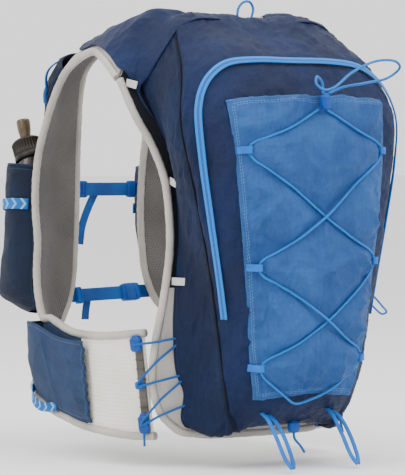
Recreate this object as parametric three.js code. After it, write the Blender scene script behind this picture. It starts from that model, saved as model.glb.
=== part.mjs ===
// A running hydration vest, worn on the shoulders: a hollow pack on a padded back panel, two
// harness halves that run over the shoulders to the chest and round the sides, and their trim.
// Millimetres, +Z up. The wearer faces -Y, with the left side at +X. The origin lies between
// the shoulders, at the height where the inside of the straps rests on them.

import * as THREE from "three";

// Main sizes
const VEST_HEIGHT = 440; // shoulders down to the hem
const HALF_WIDTH = 140; // centre line out to the widest place of a side wing
const CHEST_DEPTH = 180; // shoulder line forward to the chest panels
const BACK_DEPTH = 100; // shoulder line back to the inside of the back panel
const PACK_DEPTH = 92; // back panel out to the middle of the pack's face
const CLEARANCE = 0.4; // between pieces that are sewn or seated on each other

// Walls and cords
const SEAT = 0.9; // between pieces of cloth that follow the same curved surface
const PADDING = 5; // back panel, straps, chest panels
const STRETCH = 2.4; // side wings
const FABRIC = 1.4; // pack, pockets and yoke tabs
const BINDING_RADIUS = 4.2; // rolled edge of the armholes and the back panel
const BINDING_SIDES = 6;
const BINDING_OFF = BINDING_RADIUS * Math.cos(Math.PI / BINDING_SIDES) + 1;
const BUNGEE_RADIUS = 1.4;
const CINCH_RADIUS = 1.3;
const LOOP_CORD_RADIUS = 1.1; // hang loop and zipper pull
const WEBBING_WIDTH = 15;
const WEBBING_THICKNESS = 1.6;
const ZIPPER_WIDTH = 8;
const ZIPPER_HEIGHT = 1.8;
const POLE_WEBBING_WIDTH = 5;
const POLE_WEBBING_THICKNESS = 2;
const LACE_STRIP_WIDTH = 10; // strip on the rear edge of a side wing
const LOOP_TAPE_WIDTH = 5; // tape loops at the sides of the stash pocket
const LOOP_TAPE_REACH = 7;
const LOOP_TAPE_THICKNESS = 1.2;
const SEAM = 1.2; // between pieces that are sewn edge to edge

// Pockets
const STASH_SLACK = 9; // how far the stash pocket stands off the pack
const FOLD_HEIGHT = 3;
const CHEST_POCKET_DEPTH = 9;
const BOTTLE_POCKET_DEPTH = 50;
const BOTTLE_BELLY = 18; // how far the pocket's sides swell past its seams
const LOWER_POCKET_DEPTH = 19;

// Flask
const FLASK_LENGTH = 156; // body, up to the neck
const FLASK_WIDTH = 52;
const FLASK_THICKNESS = 36;
const FLASK_WALL = 1.6;
const NECK_RADIUS = 14;
const NECK_LENGTH = 12;
const CAP_RADIUS = 17.5;
const CAP_HEIGHT = 21;
const VALVE_LENGTH = 22;
const VALVE_RADIUS = 7;

// Colours
const NAVY = { color: 0x2b3a5e, roughness: 0.55 };
const STEEL_BLUE = { color: 0x4e74aa, roughness: 0.6 };
const BRIGHT_BLUE = { color: 0x1a8fd6, roughness: 0.5 };
const PALE_GREY = { color: 0xc9c6c1, roughness: 0.8 };
const OFF_WHITE = { color: 0xe0ddd6, roughness: 0.8 };
const DARK_GREY = { color: 0x6e6962, roughness: 0.9 };
const SMOKE = { color: 0x4a4032, roughness: 0.3 };

// Named columns for the tables of sections
function table(columns, rows) {
  const names = columns.split(" ");
  return rows.map((row) => Object.fromEntries(names.map((name, i) => [name, row[i]])));
}

// A point from shares: x of HALF_WIDTH, y of CHEST_DEPTH in front and BACK_DEPTH behind,
// down of VEST_HEIGHT.
function place(x, y, down) {
  return new THREE.Vector3(
    x * HALF_WIDTH,
    y * (y < 0 ? CHEST_DEPTH : BACK_DEPTH),
    -down * VEST_HEIGHT,
  );
}

// Left harness half from the shoulder seam, over the shoulder, to the bottom of the chest:
// neck-side edge, crest and armhole edge of each section.
const HARNESS = table("neckX neckY neckDown midX midY midDown armX armY armDown", [
  [0.36, 0.42, 0.012, 0.67, 0.41, 0.012, 0.975, 0.43, 0.15],
  [0.4, 0.1, 0.02, 0.68, 0.08, 0.024, 0.945, 0.12, 0.105],
  [0.42, -0.17, 0.036, 0.66, -0.17, 0.045, 0.84, -0.15, 0.085],
  [0.43, -0.42, 0.056, 0.65, -0.41, 0.07, 0.76, -0.37, 0.093],
  [0.41, -0.67, 0.088, 0.61, -0.65, 0.1, 0.73, -0.57, 0.122],
  [0.385, -0.85, 0.14, 0.57, -0.82, 0.15, 0.71, -0.71, 0.17],
  [0.36, -0.925, 0.235, 0.55, -0.905, 0.24, 0.7, -0.815, 0.235],
  [0.345, -0.965, 0.34, 0.555, -0.945, 0.34, 0.745, -0.87, 0.335],
  [0.335, -0.985, 0.455, 0.555, -0.96, 0.45, 0.775, -0.87, 0.44],
  [0.35, -0.985, 0.57, 0.57, -0.95, 0.565, 0.77, -0.85, 0.555],
  [0.4, -0.96, 0.675, 0.64, -0.9, 0.665, 0.83, -0.79, 0.655],
  [0.53, -0.905, 0.745, 0.71, -0.83, 0.74, 0.86, -0.69, 0.73],
]);

// Left side wing, from its front edge round to the rear: top and hem of each section.
const WING = table("topX topY topDown hemX hemY hemDown", [
  [0.55, -0.9, 0.757, 0.757, -0.915, 0.905],
  [0.705, -0.83, 0.75, 0.835, -0.77, 0.93],
  [0.835, -0.69, 0.737, 0.88, -0.57, 0.952],
  [0.895, -0.49, 0.752, 0.91, -0.37, 0.965],
  [0.94, -0.29, 0.767, 0.945, -0.19, 0.974],
  [0.98, 0.0, 0.77, 0.96, 0.04, 0.98],
  [0.965, 0.39, 0.765, 0.925, 0.46, 0.985],
  [0.9, 0.72, 0.755, 0.845, 0.78, 0.985],
]);

// Back panel, from the neck down to the hem: middle, and three places out to the edge.
const BACK = table("midY midDown inX inY inDown outX outY outDown edgeX edgeY edgeDown", [
  [0.46, 0.03, 0.56, 0.455, 0.014, 0.76, 0.455, 0.03, 0.98, 0.46, 0.155],
  [0.7, 0.125, 0.54, 0.68, 0.13, 0.74, 0.69, 0.165, 0.915, 0.68, 0.255],
  [0.84, 0.25, 0.47, 0.83, 0.26, 0.65, 0.84, 0.285, 0.815, 0.83, 0.34],
  [0.91, 0.4, 0.43, 0.9, 0.405, 0.6, 0.9, 0.415, 0.757, 0.88, 0.443],
  [0.94, 0.557, 0.42, 0.93, 0.557, 0.58, 0.92, 0.557, 0.743, 0.89, 0.557],
  [0.96, 0.705, 0.44, 0.95, 0.705, 0.62, 0.93, 0.705, 0.8, 0.86, 0.705],
  [0.97, 0.83, 0.47, 0.955, 0.83, 0.66, 0.92, 0.83, 0.85, 0.81, 0.83],
  [0.98, 0.932, 0.46, 0.96, 0.932, 0.63, 0.93, 0.93, 0.81, 0.83, 0.927],
  [0.98, 0.985, 0.39, 0.97, 0.985, 0.53, 0.95, 0.983, 0.66, 0.9, 0.975],
]);

// Pack, from below the neck down to the bottom. The rim is a place on the back panel, across
// (0 middle, 1 edge) and along it; side and face give x, how far out (a share of PACK_DEPTH
// from the wearer's back) and down; the middle gives out and down.
const PACK = table("rimAcross rimAlong sideX sideOut sideDown faceX faceOut faceDown midOut midDown", [
  [0.86, 0.07, 0.8, -0.25, 0.08, 0.6, -0.22, 0.014, -0.2, 0.012],
  [0.86, 0.12, 0.86, 0.05, 0.138, 0.66, 0.1, 0.058, 0.12, 0.055],
  [0.87, 0.18, 0.93, 0.27, 0.205, 0.78, 0.52, 0.135, 0.58, 0.12],
  [0.88, 0.26, 0.93, 0.35, 0.3, 0.88, 0.73, 0.235, 0.87, 0.22],
  [0.9, 0.37, 0.86, 0.36, 0.39, 0.84, 0.8, 0.345, 0.98, 0.34],
  [0.92, 0.47, 0.765, 0.35, 0.51, 0.755, 0.82, 0.48, 1.0, 0.475],
  [0.92, 0.56, 0.7, 0.34, 0.625, 0.67, 0.82, 0.61, 1.01, 0.605],
  [0.86, 0.65, 0.665, 0.34, 0.74, 0.595, 0.8, 0.735, 1.0, 0.73],
  [0.76, 0.76, 0.63, 0.34, 0.85, 0.53, 0.76, 0.845, 0.96, 0.84],
  [0.68, 0.82, 0.6, 0.34, 0.92, 0.47, 0.68, 0.915, 0.86, 0.9],
  [0.8, 0.91, 0.56, 0.3, 0.98, 0.36, 0.46, 0.962, 0.5, 0.95],
]);
// Where the first and last sections of the pack seat on the back panel, side to middle
const PACK_SEAT_ACROSS = [0.9, 0.7, 0.4, 0];
const PACK_TOP_ALONG = 0.03;
const PACK_BOTTOM_ALONG = 0.975;


// Folds of the stash pocket: middle across and along the cloth, lean in degrees, and length,
// width (shares of the cloth) and height (share of FOLD_HEIGHT)
const STASH_FOLDS = table("across along lean length width height", [
  [0.14, 0.3, 8, 0.3, 0.07, 0.8],
  [0.3, 0.12, -30, 0.2, 0.08, 0.6],
  [0.72, 0.1, 35, 0.2, 0.08, 0.6],
  [0.16, 0.62, 5, 0.22, 0.06, 0.7],
  [0.3, 0.86, -20, 0.16, 0.07, 0.6],
  [0.86, 0.45, -6, 0.3, 0.07, 0.7],
  [0.7, 0.9, 25, 0.16, 0.07, 0.6],
]);
// Its half width (share of HALF_WIDTH) and place down the vest
const STASH_WIDTHS = table("half down", [
  [0.71, 0.215],
  [0.685, 0.32],
  [0.64, 0.45],
  [0.6, 0.56],
  [0.555, 0.68],
  [0.5, 0.81],
  [0.44, 0.895],
]);

const ZIPPER_ARCH = table("across along", [
  [0.295, 0.648],
  [0.3, 0.54],
  [0.31, 0.43],
  [0.318, 0.375],
  [0.328, 0.325],
  [0.345, 0.285],
  [0.378, 0.26],
  [0.43, 0.252],
  [0.5, 0.25],
]);

const BUNGEE_SEAT = 1.6;
// Tape loops for the bungee, and the bungee's route: shares of HALF_WIDTH across and of
// VEST_HEIGHT down, and how many cords it passes over
const BUNGEE_LOOPS = table("name x down", [
  ["bungee_loop_1_left", 0.6, 0.325],
  ["bungee_loop_2_left", 0.51, 0.59],
  ["bungee_loop_3_left", 0.44, 0.82],
  ["bungee_loop_1_right", -0.62, 0.325],
  ["bungee_loop_2_right", -0.54, 0.58],
  ["bungee_loop_3_right", -0.44, 0.805],
]);
const BUNGEE_ROUTE = table("x down lift", [
  [-0.03, 0.236, 0],
  [0.28, 0.28, 0],
  [0.6, 0.3105, 0],
  [0.6, 0.3395, 0],
  [0.25, 0.41, 0],
  [-0.06, 0.485, 0],
  [-0.3, 0.53, 0],
  [-0.54, 0.5655, 0],
  [-0.54, 0.5945, 0],
  [-0.3, 0.66, 0],
  [-0.05, 0.72, 0],
  [0.2, 0.77, 0],
  [0.44, 0.8055, 0],
  [0.44, 0.8345, 0],
  [0.28, 0.875, 0],
  [0.12, 0.905, 0],
  [-0.1, 0.885, 0],
  [-0.44, 0.8195, 0],
  [-0.44, 0.7905, 0],
  [-0.25, 0.76, 0],
  [-0.02, 0.708, 1],
  [0.25, 0.65, 0],
  [0.51, 0.6045, 0],
  [0.51, 0.5755, 0],
  [0.22, 0.53, 0],
  [-0.03, 0.475, 1],
  [-0.32, 0.4, 0],
  [-0.62, 0.3395, 0],
  [-0.62, 0.3105, 0],
  [-0.35, 0.28, 0],
  [-0.07, 0.236, 0],
]);
const LOCK_X = -0.05;
const LOCK_DOWN = 0.228;
const LOCK_WIDTH = 11;
const LOCK_HEIGHT = 15;
const LOCK_THICKNESS = 8;
// Spare bungee from the lock's top, a small loop and a large one: millimetres from the lock
const SPARE_LOOP = table("across out up", [
  [-3, 0, 8.4],
  [-8, 4, 20],
  [-18, 8, 25],
  [-20, 10, 18],
  [-12, 12, 12],
  [0, 13, 14],
  [22, 16, 30],
  [52, 18, 42],
  [80, 16, 42],
  [88, 12, 36],
  [78, 6, 26],
  [50, 4, 20],
  [20, 3, 15],
  [3.5, 0, 8.4],
]);

// Hang loop on the pack's top: millimetres from its middle
const HANG_ALONG = 0.0625;
const HANG_LOOP = table("x y z", [
  [9, 0, 0],
  [9, 0, 4],
  [7, 0, 13],
  [1, 1, 19],
  [-7, 1, 19],
  [-12, 0, 12],
  [-10, 0, 4],
  [-9, 0, 0],
]);
const PULL_X = -0.7;
const PULL_DOWN = 0.65;
// Millimetres from the end of the zipper
const ZIPPER_PULL = table("x y z", [
  [0, 0, 0],
  [-10, 5, -3],
  [-20, 5, -10],
  [-31, 5, -20],
  [-38, 4, -27],
  [-34, 2, -29],
  [-20, 1, -19],
  [-9, 1, -11],
]);

// Pockets on the harness and the wings: shares of the patch, and height of the seat
const YOKE_SEAT = 1.8;
const YOKE_STRAP = table("along neck arm", [
  [0.3, 0.28, 0.72],
  [0.275, 0.1, 0.9],
  [0.25, 0.05, 0.96],
  [0.1875, 0.04, 0.96],
  [0.125, 0.04, 0.96],
  [0.0625, 0.04, 0.96],
  [0, 0.04, 0.96],
]);
// Over the pack's top: how far along the pack, and the outer edge's place on the back panel
const YOKE_ACROSS = [0.415, 0.357, 0.286, 0.214, 0.143, 0.071, 0];
const YOKE_COLUMNS = [0, 0.174, 0.391, 0.609, 0.717, 0.826, 0.935, 1];
const YOKE_RIM = 2.4; // extra height over the pack's rim
const YOKE_PACK = table("along armAcross armAlong", [
  [0.031, 0.035, 0.06],
  [0.0625, 0.04, 0.11],
  [0.125, 0.055, 0.16],
]);
const CHEST_AREA = { u0: 0.06, u1: 0.94, v0: 0.38, v1: 0.585, base: PADDING + SEAT };
const LOWER_AREA = { u0: 0.03, u1: 0.97, v0: 0.03, v1: 0.68, base: STRETCH + SEAT };
const BOTTLE_AREA = { u: 0.54, reach: 0.4, v0: 0.66, v1: 0.975 };
const BOTTLE_DEPTHS = table("along depth", [
  [0, 0.9],
  [0.2, 0.92],
  [0.4, 0.92],
  [0.6, 0.98],
  [0.8, 1.0],
  [1, 0.3],
]);
const STRAP_ALONG = 0.25;
const STRAP_OFF = 3.7;
const NAPE_HALF = 0.1; // half of the neck binding, as a share across the back panel

// Flask: where its foot lies along the harness, and its rings from the foot up
const FLASK_SEAT = 0.925;
const FLASK_ACROSS = 0.52;
const FLASK_GAP = 4;
const NECK_LEAN = 22; // degrees, top away from the chest
const NECK_OUT = 7; // how far the neck stands out past the body's axis
const VALVE_LEAN = 8;
const FLASK_RINGS = table("up width depth out", [
  [0, 0.6, 0.5, 0],
  [0.05, 0.92, 0.86, 0],
  [0.35, 1, 1, 0],
  [0.72, 1, 0.95, 0.5],
  [0.9, 0.82, 0.8, 3],
]);

// Sternum straps
const UPPER_V = 0.7;
const LOWER_V_LEFT = 0.925;
const LOWER_V_RIGHT = 0.915;
const STERNUM_END = 0.045; // share across the chest panel
const STERNUM_EDGE = 0.02;
const STERNUM_LIFT = 6.7;
const STERNUM_BOW = 1.5;

const TIE_X = -0.1;
const TIE_DOWN = 0.96;

// Pole loops, millimetres from their foot on the pack
const POLE_X = 0.3;
const POLE_DOWN = 0.925;
const POLE_SPREAD = 5;
const POLE_LOOP = table("x y z", [
  [6, 12, -7],
  [6, 26, -24],
  [3, 38, -46],
  [-2, 42, -54],
  [-6, 38, -50],
  [-6, 26, -28],
  [-5, 11, -10],
]);

const STRAP_WIDTH = 12;
const TAB_LIFT = PADDING + CHEST_POCKET_DEPTH - 0.6;

// Side lacing: places up the wing's rear strip (0 top, 1 hem) and down the pack's side
const LACE_STRIP_AT = 0.975;
const LACE_BOW = 4; // how far the lace bows out over the back panel's edge
const LACE_PACK_LIFT = 3.2;
const LACE_LOCK_THICKNESS = 5;
const LACE_STRIP_THICKNESS = 2;
const LACE_PACK_ACROSS = 0.09;
const LACE_TOP = 0.69;
const LACE_BOTTOM = 0.86;
const LACE_ROUTE = table("strip packShare", [
  [0.08, 0],
  [0.5, 0.45],
  [0.9, 1],
]);
const LACE_LOCKS = table("name u width height", [
  ["side_lock_top", 0.08, 11, 13],
  ["side_hook", 0.5, 11, 8],
  ["side_lock_bottom", 0.9, 10, 16],
]);

// Surfaces face away from this point inside the wearer.
const HEART = new THREE.Vector3(0, -0.2 * CHEST_DEPTH, -0.45 * VEST_HEIGHT);

// A smooth surface through rows of control points. u runs across a row and v down the rows,
// both from 0 to 1.
class Patch {
  constructor(rows, from = HEART) {
    this.columns = rows[0].map((_, j) => new THREE.CatmullRomCurve3(rows.map((row) => row[j])));
    this.from = from;
  }
  at(u, v) {
    return new THREE.CatmullRomCurve3(this.columns.map((c) => c.getPoint(v))).getPoint(u);
  }
  normal(u, v) {
    const e = 0.01;
    const [u0, u1] = [Math.max(u - e, 0), Math.min(u + e, 1)];
    const [v0, v1] = [Math.max(v - e, 0), Math.min(v + e, 1)];
    const along = this.at(u, v1).sub(this.at(u, v0));
    const across = this.at(u1, v).sub(this.at(u0, v));
    const n = across.cross(along).normalize();
    return n.dot(this.at(u, v).sub(this.from)) < 0 ? n.negate() : n;
  }
  lift(u, v, height) {
    return this.at(u, v).addScaledVector(this.normal(u, v), height);
  }
}

const mirrored = (p, side) => new THREE.Vector3(side * p.x, p.y, p.z);
const mix = THREE.MathUtils.lerp;
const clamp01 = (t) => THREE.MathUtils.clamp(t, 0, 1);
const shares = (count) => Array.from({ length: count + 1 }, (_, i) => i / count);
const tangentAt = (line, i) => {
  const before = line[Math.max(i - 1, 0)];
  const after = line[Math.min(i + 1, line.length - 1)];
  return after.clone().sub(before).normalize();
};

// The place between low and high where a test that starts false becomes true
function bisect(low, high, test) {
  for (let step = 0; step < 14; step++) {
    const middle = (low + high) / 2;
    if (test(middle)) high = middle;
    else low = middle;
  }
  return (low + high) / 2;
}

// Height of the folds in a piece of cloth at (s, t)
function foldHeight(folds, s, t) {
  let height = 0;
  for (const fold of folds) {
    const lean = THREE.MathUtils.degToRad(fold.lean);
    const [x, y] = [s - fold.across, t - fold.along];
    const along = x * Math.sin(lean) + y * Math.cos(lean);
    const off = x * Math.cos(lean) - y * Math.sin(lean);
    height += fold.height * Math.exp(-((along / fold.length) ** 2) - (off / fold.width) ** 2);
  }
  return height * FOLD_HEIGHT;
}

// Closed geometry from points and faces, turned so that the faces point out
function closedGeometry(points, faces) {
  let volume = 0;
  for (const [a, b, c] of faces) {
    volume += points[a].dot(points[b].clone().cross(points[c]));
  }
  const turned = volume < 0 ? faces.map(([a, b, c]) => [a, c, b]) : faces;
  const geometry = new THREE.BufferGeometry().setFromPoints(points);
  geometry.setIndex(turned.flat());
  geometry.computeVertexNormals();
  return geometry;
}

// A wall between two grids of points: inner(i, j) and outer(i, j) for i to nu and j to nv
function wall(nu, nv, inner, outer) {
  const points = [];
  const faces = [];
  for (const face of [inner, outer]) {
    for (let j = 0; j <= nv; j++) {
      for (let i = 0; i <= nu; i++) points.push(face(i / nu, j / nv));
    }
  }
  const id = (layer, i, j) => layer * (nu + 1) * (nv + 1) + j * (nu + 1) + i;
  const quad = (a, b, c, d) => faces.push([a, b, c], [a, c, d]);
  for (let j = 0; j < nv; j++) {
    for (let i = 0; i < nu; i++) {
      quad(id(0, i, j), id(0, i + 1, j), id(0, i + 1, j + 1), id(0, i, j + 1));
      quad(id(1, i, j), id(1, i, j + 1), id(1, i + 1, j + 1), id(1, i + 1, j));
    }
  }
  for (let i = 0; i < nu; i++) {
    quad(id(0, i + 1, 0), id(0, i, 0), id(1, i, 0), id(1, i + 1, 0));
    quad(id(0, i, nv), id(0, i + 1, nv), id(1, i + 1, nv), id(1, i, nv));
  }
  for (let j = 0; j < nv; j++) {
    quad(id(0, 0, j), id(0, 0, j + 1), id(1, 0, j + 1), id(1, 0, j));
    quad(id(0, nu, j + 1), id(0, nu, j), id(1, nu, j), id(1, nu, j + 1));
  }
  return closedGeometry(points, faces);
}

// A section, a list of [x, y], carried along stations that each have a centre and two axes
function sweep(stations, section, closed = false) {
  const points = [];
  const faces = [];
  const n = section.length;
  for (const { centre, x, y } of stations) {
    for (const [a, b] of section) {
      points.push(centre.clone().addScaledVector(x, a).addScaledVector(y, b));
    }
  }
  const count = stations.length;
  for (let s = 0; s < (closed ? count : count - 1); s++) {
    for (let k = 0; k < n; k++) {
      const [a, b] = [s * n + k, s * n + ((k + 1) % n)];
      const [c, d] = [((s + 1) % count) * n + ((k + 1) % n), ((s + 1) % count) * n + k];
      faces.push([a, b, c], [a, c, d]);
    }
  }
  if (!closed) {
    const last = (count - 1) * n;
    for (let k = 1; k < n - 1; k++) {
      faces.push([0, k + 1, k], [last, last + k, last + k + 1]);
    }
  }
  return closedGeometry(points, faces);
}

function polygon(radius, sides, flat = 1) {
  return Array.from({ length: sides }, (_, k) => {
    const angle = (2 * Math.PI * (k + 0.5)) / sides;
    return [radius * Math.cos(angle), flat * radius * Math.sin(angle)];
  });
}

const rectangle = (width, thickness) => [
  [-width / 2, -thickness / 2],
  [width / 2, -thickness / 2],
  [width / 2, thickness / 2],
  [-width / 2, thickness / 2],
];

// A round cord along a curve through points
function cord(points, radius, steps, sides = 8) {
  const section = new THREE.Shape(polygon(radius, sides).map(([x, y]) => new THREE.Vector2(x, y)));
  return new THREE.ExtrudeGeometry(section, {
    steps,
    bevelEnabled: false,
    extrudePath: new THREE.CatmullRomCurve3(points),
  });
}

// Flat webbing along points, its width along one direction
function webbing(points, widthAxis, width, thickness, steps) {
  const line = new THREE.CatmullRomCurve3(points).getSpacedPoints(steps);
  const stations = line.map((centre, i) => {
    const tangent = tangentAt(line, i);
    const x = widthAxis.clone().addScaledVector(tangent, -widthAxis.dot(tangent)).normalize();
    return { centre, x, y: tangent.clone().cross(x) };
  });
  return sweep(stations, rectangle(width, thickness));
}

// A padded panel: the patch, and the same patch lifted by the padding
const panel = (patch, nu, nv, thickness) =>
  wall(nu, nv, (u, v) => patch.at(u, v), (u, v) => patch.lift(u, v, thickness));

// A rolled edge beside the borders of panels. Each run is a patch, [u, v] pairs on its border
// and the panel's thickness.
function edging(runs) {
  const line = [];
  const out = [];
  for (const { patch, border, thickness } of runs) {
    for (const [u, v] of border) {
      const inside = patch.at(mix(0.04, 0.96, u), mix(0.04, 0.96, v));
      const across = u === 0 || u === 1 ? patch.at(mix(0.04, 0.96, u), v) : inside;
      const along = v === 0 || v === 1 ? patch.at(u, mix(0.04, 0.96, v)) : inside;
      const edge = patch.lift(u, v, thickness / 2);
      const flat = patch.at(u, v);
      const away = new THREE.Vector3();
      if (u === 0 || u === 1) away.add(flat.clone().sub(across).normalize());
      if (v === 0 || v === 1) away.add(flat.clone().sub(along).normalize());
      line.push(edge);
      out.push(away.normalize());
    }
  }
  const stations = line.map((p, i) => {
    const tangent = tangentAt(line, i);
    const x = out[i].clone().addScaledVector(tangent, -out[i].dot(tangent)).normalize();
    const y = tangent.clone().cross(x);
    return { centre: p.clone().addScaledVector(x, BINDING_OFF), x, y };
  });
  return sweep(stations, polygon(BINDING_RADIUS, BINDING_SIDES));
}

// A hollow form of elliptic rings, each in a frame of its own: closed at the bottom, open at
// the top
function vessel(rings, wallThickness, sides) {
  const ring = ({ frame, width, depth }, inset = 0, up = 0) =>
    polygon(1, sides).map(([a, b]) => frame.at((width - inset) * a, (depth - inset) * b, up));
  const floor = ring(rings[0], 2 * wallThickness, wallThickness);
  const lining = rings.slice(1).toReversed().map((r) => ring(r, wallThickness));
  const loops = [...rings.map((r) => ring(r)), ...lining, floor];
  const faces = [];
  for (let s = 0; s < loops.length - 1; s++) {
    for (let k = 0; k < sides; k++) {
      const [a, b] = [s * sides + k, s * sides + ((k + 1) % sides)];
      faces.push([a, b, b + sides], [a, b + sides, a + sides]);
    }
  }
  const last = (loops.length - 1) * sides;
  for (let k = 1; k < sides - 1; k++) {
    faces.push([0, k + 1, k], [last, last + k, last + k + 1]);
  }
  return closedGeometry(loops.flat(), faces);
}

// A place and three axes: across, out and up
class Frame {
  constructor(origin, across, up) {
    this.origin = origin;
    this.up = up.clone().normalize();
    this.out = across.clone().cross(this.up).normalize();
    this.across = this.up.clone().cross(this.out);
  }
  at(x, y, z) {
    const p = this.origin.clone().addScaledVector(this.across, x);
    return p.addScaledVector(this.out, y).addScaledVector(this.up, z);
  }
  // The frame at another of its places, leaning towards out by degrees
  leaning(x, y, z, degrees = 0) {
    const lean = THREE.MathUtils.degToRad(degrees);
    const up = this.up.clone().multiplyScalar(Math.cos(lean)).addScaledVector(this.out, Math.sin(lean));
    return new Frame(this.at(x, y, z), this.across, up);
  }
}

// A plate whose outline lies across and up in a frame, with its thickness along out
function plate(shape, thickness, frame) {
  const geometry = new THREE.ExtrudeGeometry(shape, { depth: thickness, bevelEnabled: false, curveSegments: 2 });
  geometry.translate(0, 0, -thickness / 2);
  const basis = new THREE.Matrix4().makeBasis(frame.across, frame.up, frame.out);
  geometry.applyMatrix4(basis.setPosition(frame.origin));
  return geometry;
}

function roundedBox(width, height, corner) {
  const shape = new THREE.Shape();
  const [x, y] = [width / 2, height / 2];
  shape.moveTo(-x + corner, -y).lineTo(x - corner, -y).quadraticCurveTo(x, -y, x, -y + corner);
  shape.lineTo(x, y - corner).quadraticCurveTo(x, y, x - corner, y);
  shape.lineTo(-x + corner, y).quadraticCurveTo(-x, y, -x, y - corner);
  shape.lineTo(-x, -y + corner).quadraticCurveTo(-x, -y, -x + corner, -y);
  return shape;
}

const vest = new THREE.Group();
function add(name, geometry, look) {
  const mesh = new THREE.Mesh(geometry, new THREE.MeshStandardMaterial({ metalness: 0, ...look }));
  mesh.name = name;
  vest.add(mesh);
}
const SIDES = [
  { side: 1, word: "left" },
  { side: -1, word: "right" },
];
const UP = new THREE.Vector3(0, 0, 1);

// Left harness half, mirrored for the right one
const harnessRow = (s) => [
  place(s.neckX, s.neckY, s.neckDown),
  place(s.midX, s.midY, s.midDown),
  place(s.armX, s.armY, s.armDown),
];
const leftHarness = new Patch(HARNESS.map(harnessRow));

// Back panel, with a rolled edge down one armhole, along the hem and up the other armhole
const backRow = (s, i) => {
  const shoulder = [1, 0.6, 0.2].map((u) => leftHarness.at(u, 0).add(new THREE.Vector3(0, SEAM, 0)));
  const side = [
    place(s.edgeX, s.edgeY, s.edgeDown),
    place(s.outX, s.outY, s.outDown),
    place(s.inX, s.inY, s.inDown),
  ];
  const half = i === 0 ? shoulder : side;
  const middle = place(0, s.midY, s.midDown);
  return [...half, middle, ...half.toReversed().map((p) => mirrored(p, -1))];
};
const backPanel = new Patch(BACK.map(backRow));
add("back_panel", panel(backPanel, 10, 10, PADDING), PALE_GREY);

const EDGING_START = 0.015;
function backBinding() {
  const down = shares(10).map((t) => [0, Math.max(t, EDGING_START)]);
  const hem = shares(10).slice(1, -1).map((t) => [t, 1]);
  const up = down.toReversed().map(([, v]) => [1, v]);
  return edging([{ patch: backPanel, border: [...down, ...hem, ...up], thickness: PADDING }]);
}
add("back_panel_binding", backBinding(), PALE_GREY);

// Pack: a bag whose mouth closes on the back panel
const onBack = (across, along) => backPanel.lift((1 - across) / 2, along, PADDING + SEAT);
const outFromBack = (x, out, down) =>
  new THREE.Vector3(x * HALF_WIDTH, BACK_DEPTH + out * PACK_DEPTH, -down * VEST_HEIGHT);
const seatRow = (along) => {
  const half = PACK_SEAT_ACROSS.map((across) => onBack(across, along));
  return [...half, ...half.slice(0, 3).toReversed().map((p) => mirrored(p, -1))];
};
const packRow = (s) => {
  const half = [
    onBack(s.rimAcross, s.rimAlong),
    outFromBack(s.sideX, s.sideOut, s.sideDown),
    outFromBack(s.faceX, s.faceOut, s.faceDown),
  ];
  const middle = outFromBack(0, s.midOut, s.midDown);
  return [...half, middle, ...half.toReversed().map((p) => mirrored(p, -1))];
};
const pack = new Patch([seatRow(PACK_TOP_ALONG), ...PACK.map(packRow), seatRow(PACK_BOTTOM_ALONG)]);
add("pack_body", wall(14, 16, (u, v) => pack.at(u, v), (u, v) => pack.lift(u, v, FABRIC)), NAVY);

// The [u, v] of a place on the pack, from shares of HALF_WIDTH across and VEST_HEIGHT down
function packSpot(x, down) {
  let [u, v] = [0.5, 0.5];
  for (let round = 0; round < 4; round++) {
    v = bisect(0.05, 0.93, (t) => pack.at(u, t).z < -down * VEST_HEIGHT);
    u = bisect(0.2, 0.8, (t) => pack.at(t, v).x < x * HALF_WIDTH);
  }
  return [u, v];
}
const onPack = (x, down, height) => pack.lift(...packSpot(x, down), FABRIC + height);

// Stash pocket on the pack's face: open at the top, slack in the middle
const stashCurve = new THREE.SplineCurve(
  STASH_WIDTHS.map(({ half, down }) => new THREE.Vector2(half, down)),
);
const stashSlack = (s, t) => {
  const belly = Math.sin(Math.PI * s) ** 0.7 * Math.cos((Math.PI / 2) * t ** 2);
  return STASH_SLACK * belly + foldHeight(STASH_FOLDS, s, t) * Math.sin(Math.PI * s);
};
const onStash = (s, t, height) => {
  const row = stashCurve.getPoint(t);
  const [u, v] = packSpot(row.x, row.y);
  return pack.lift(mix(u, 1 - u, s), v, FABRIC + SEAT + stashSlack(s, t) + height);
};
add(
  "stash_pocket",
  wall(8, 10, (s, t) => onStash(s, t, 0), (s, t) => onStash(s, t, FABRIC)),
  STEEL_BLUE,
);

// A place over the stash pocket, from shares of HALF_WIDTH across and VEST_HEIGHT down
function overStash(x, down, height) {
  const t = bisect(0, 1, (share) => stashCurve.getPoint(share).y > down);
  const s = clamp01(0.5 - x / (2 * stashCurve.getPoint(t).x));
  return pack.lift(...packSpot(x, down), FABRIC + SEAT + stashSlack(s, t) + FABRIC + height);
}

// Zipper: an arch round the pack's face
function zipper() {
  const left = ZIPPER_ARCH.map(({ across, along }) => new THREE.Vector3(across, along, 0));
  const right = left.slice(0, -1).toReversed().map((p) => new THREE.Vector3(1 - p.x, p.y, 0));
  const spots = new THREE.CatmullRomCurve3([...left, ...right]).getSpacedPoints(34);
  const line = spots.map((p) => pack.lift(p.x, p.y, FABRIC + SEAT + ZIPPER_HEIGHT / 2));
  const stations = line.map((centre, i) => {
    const y = pack.normal(spots[i].x, spots[i].y);
    return { centre, x: tangentAt(line, i).cross(y).normalize(), y };
  });
  return sweep(stations, rectangle(ZIPPER_WIDTH, ZIPPER_HEIGHT));
}
add("main_zipper", zipper(), BRIGHT_BLUE);

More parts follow.
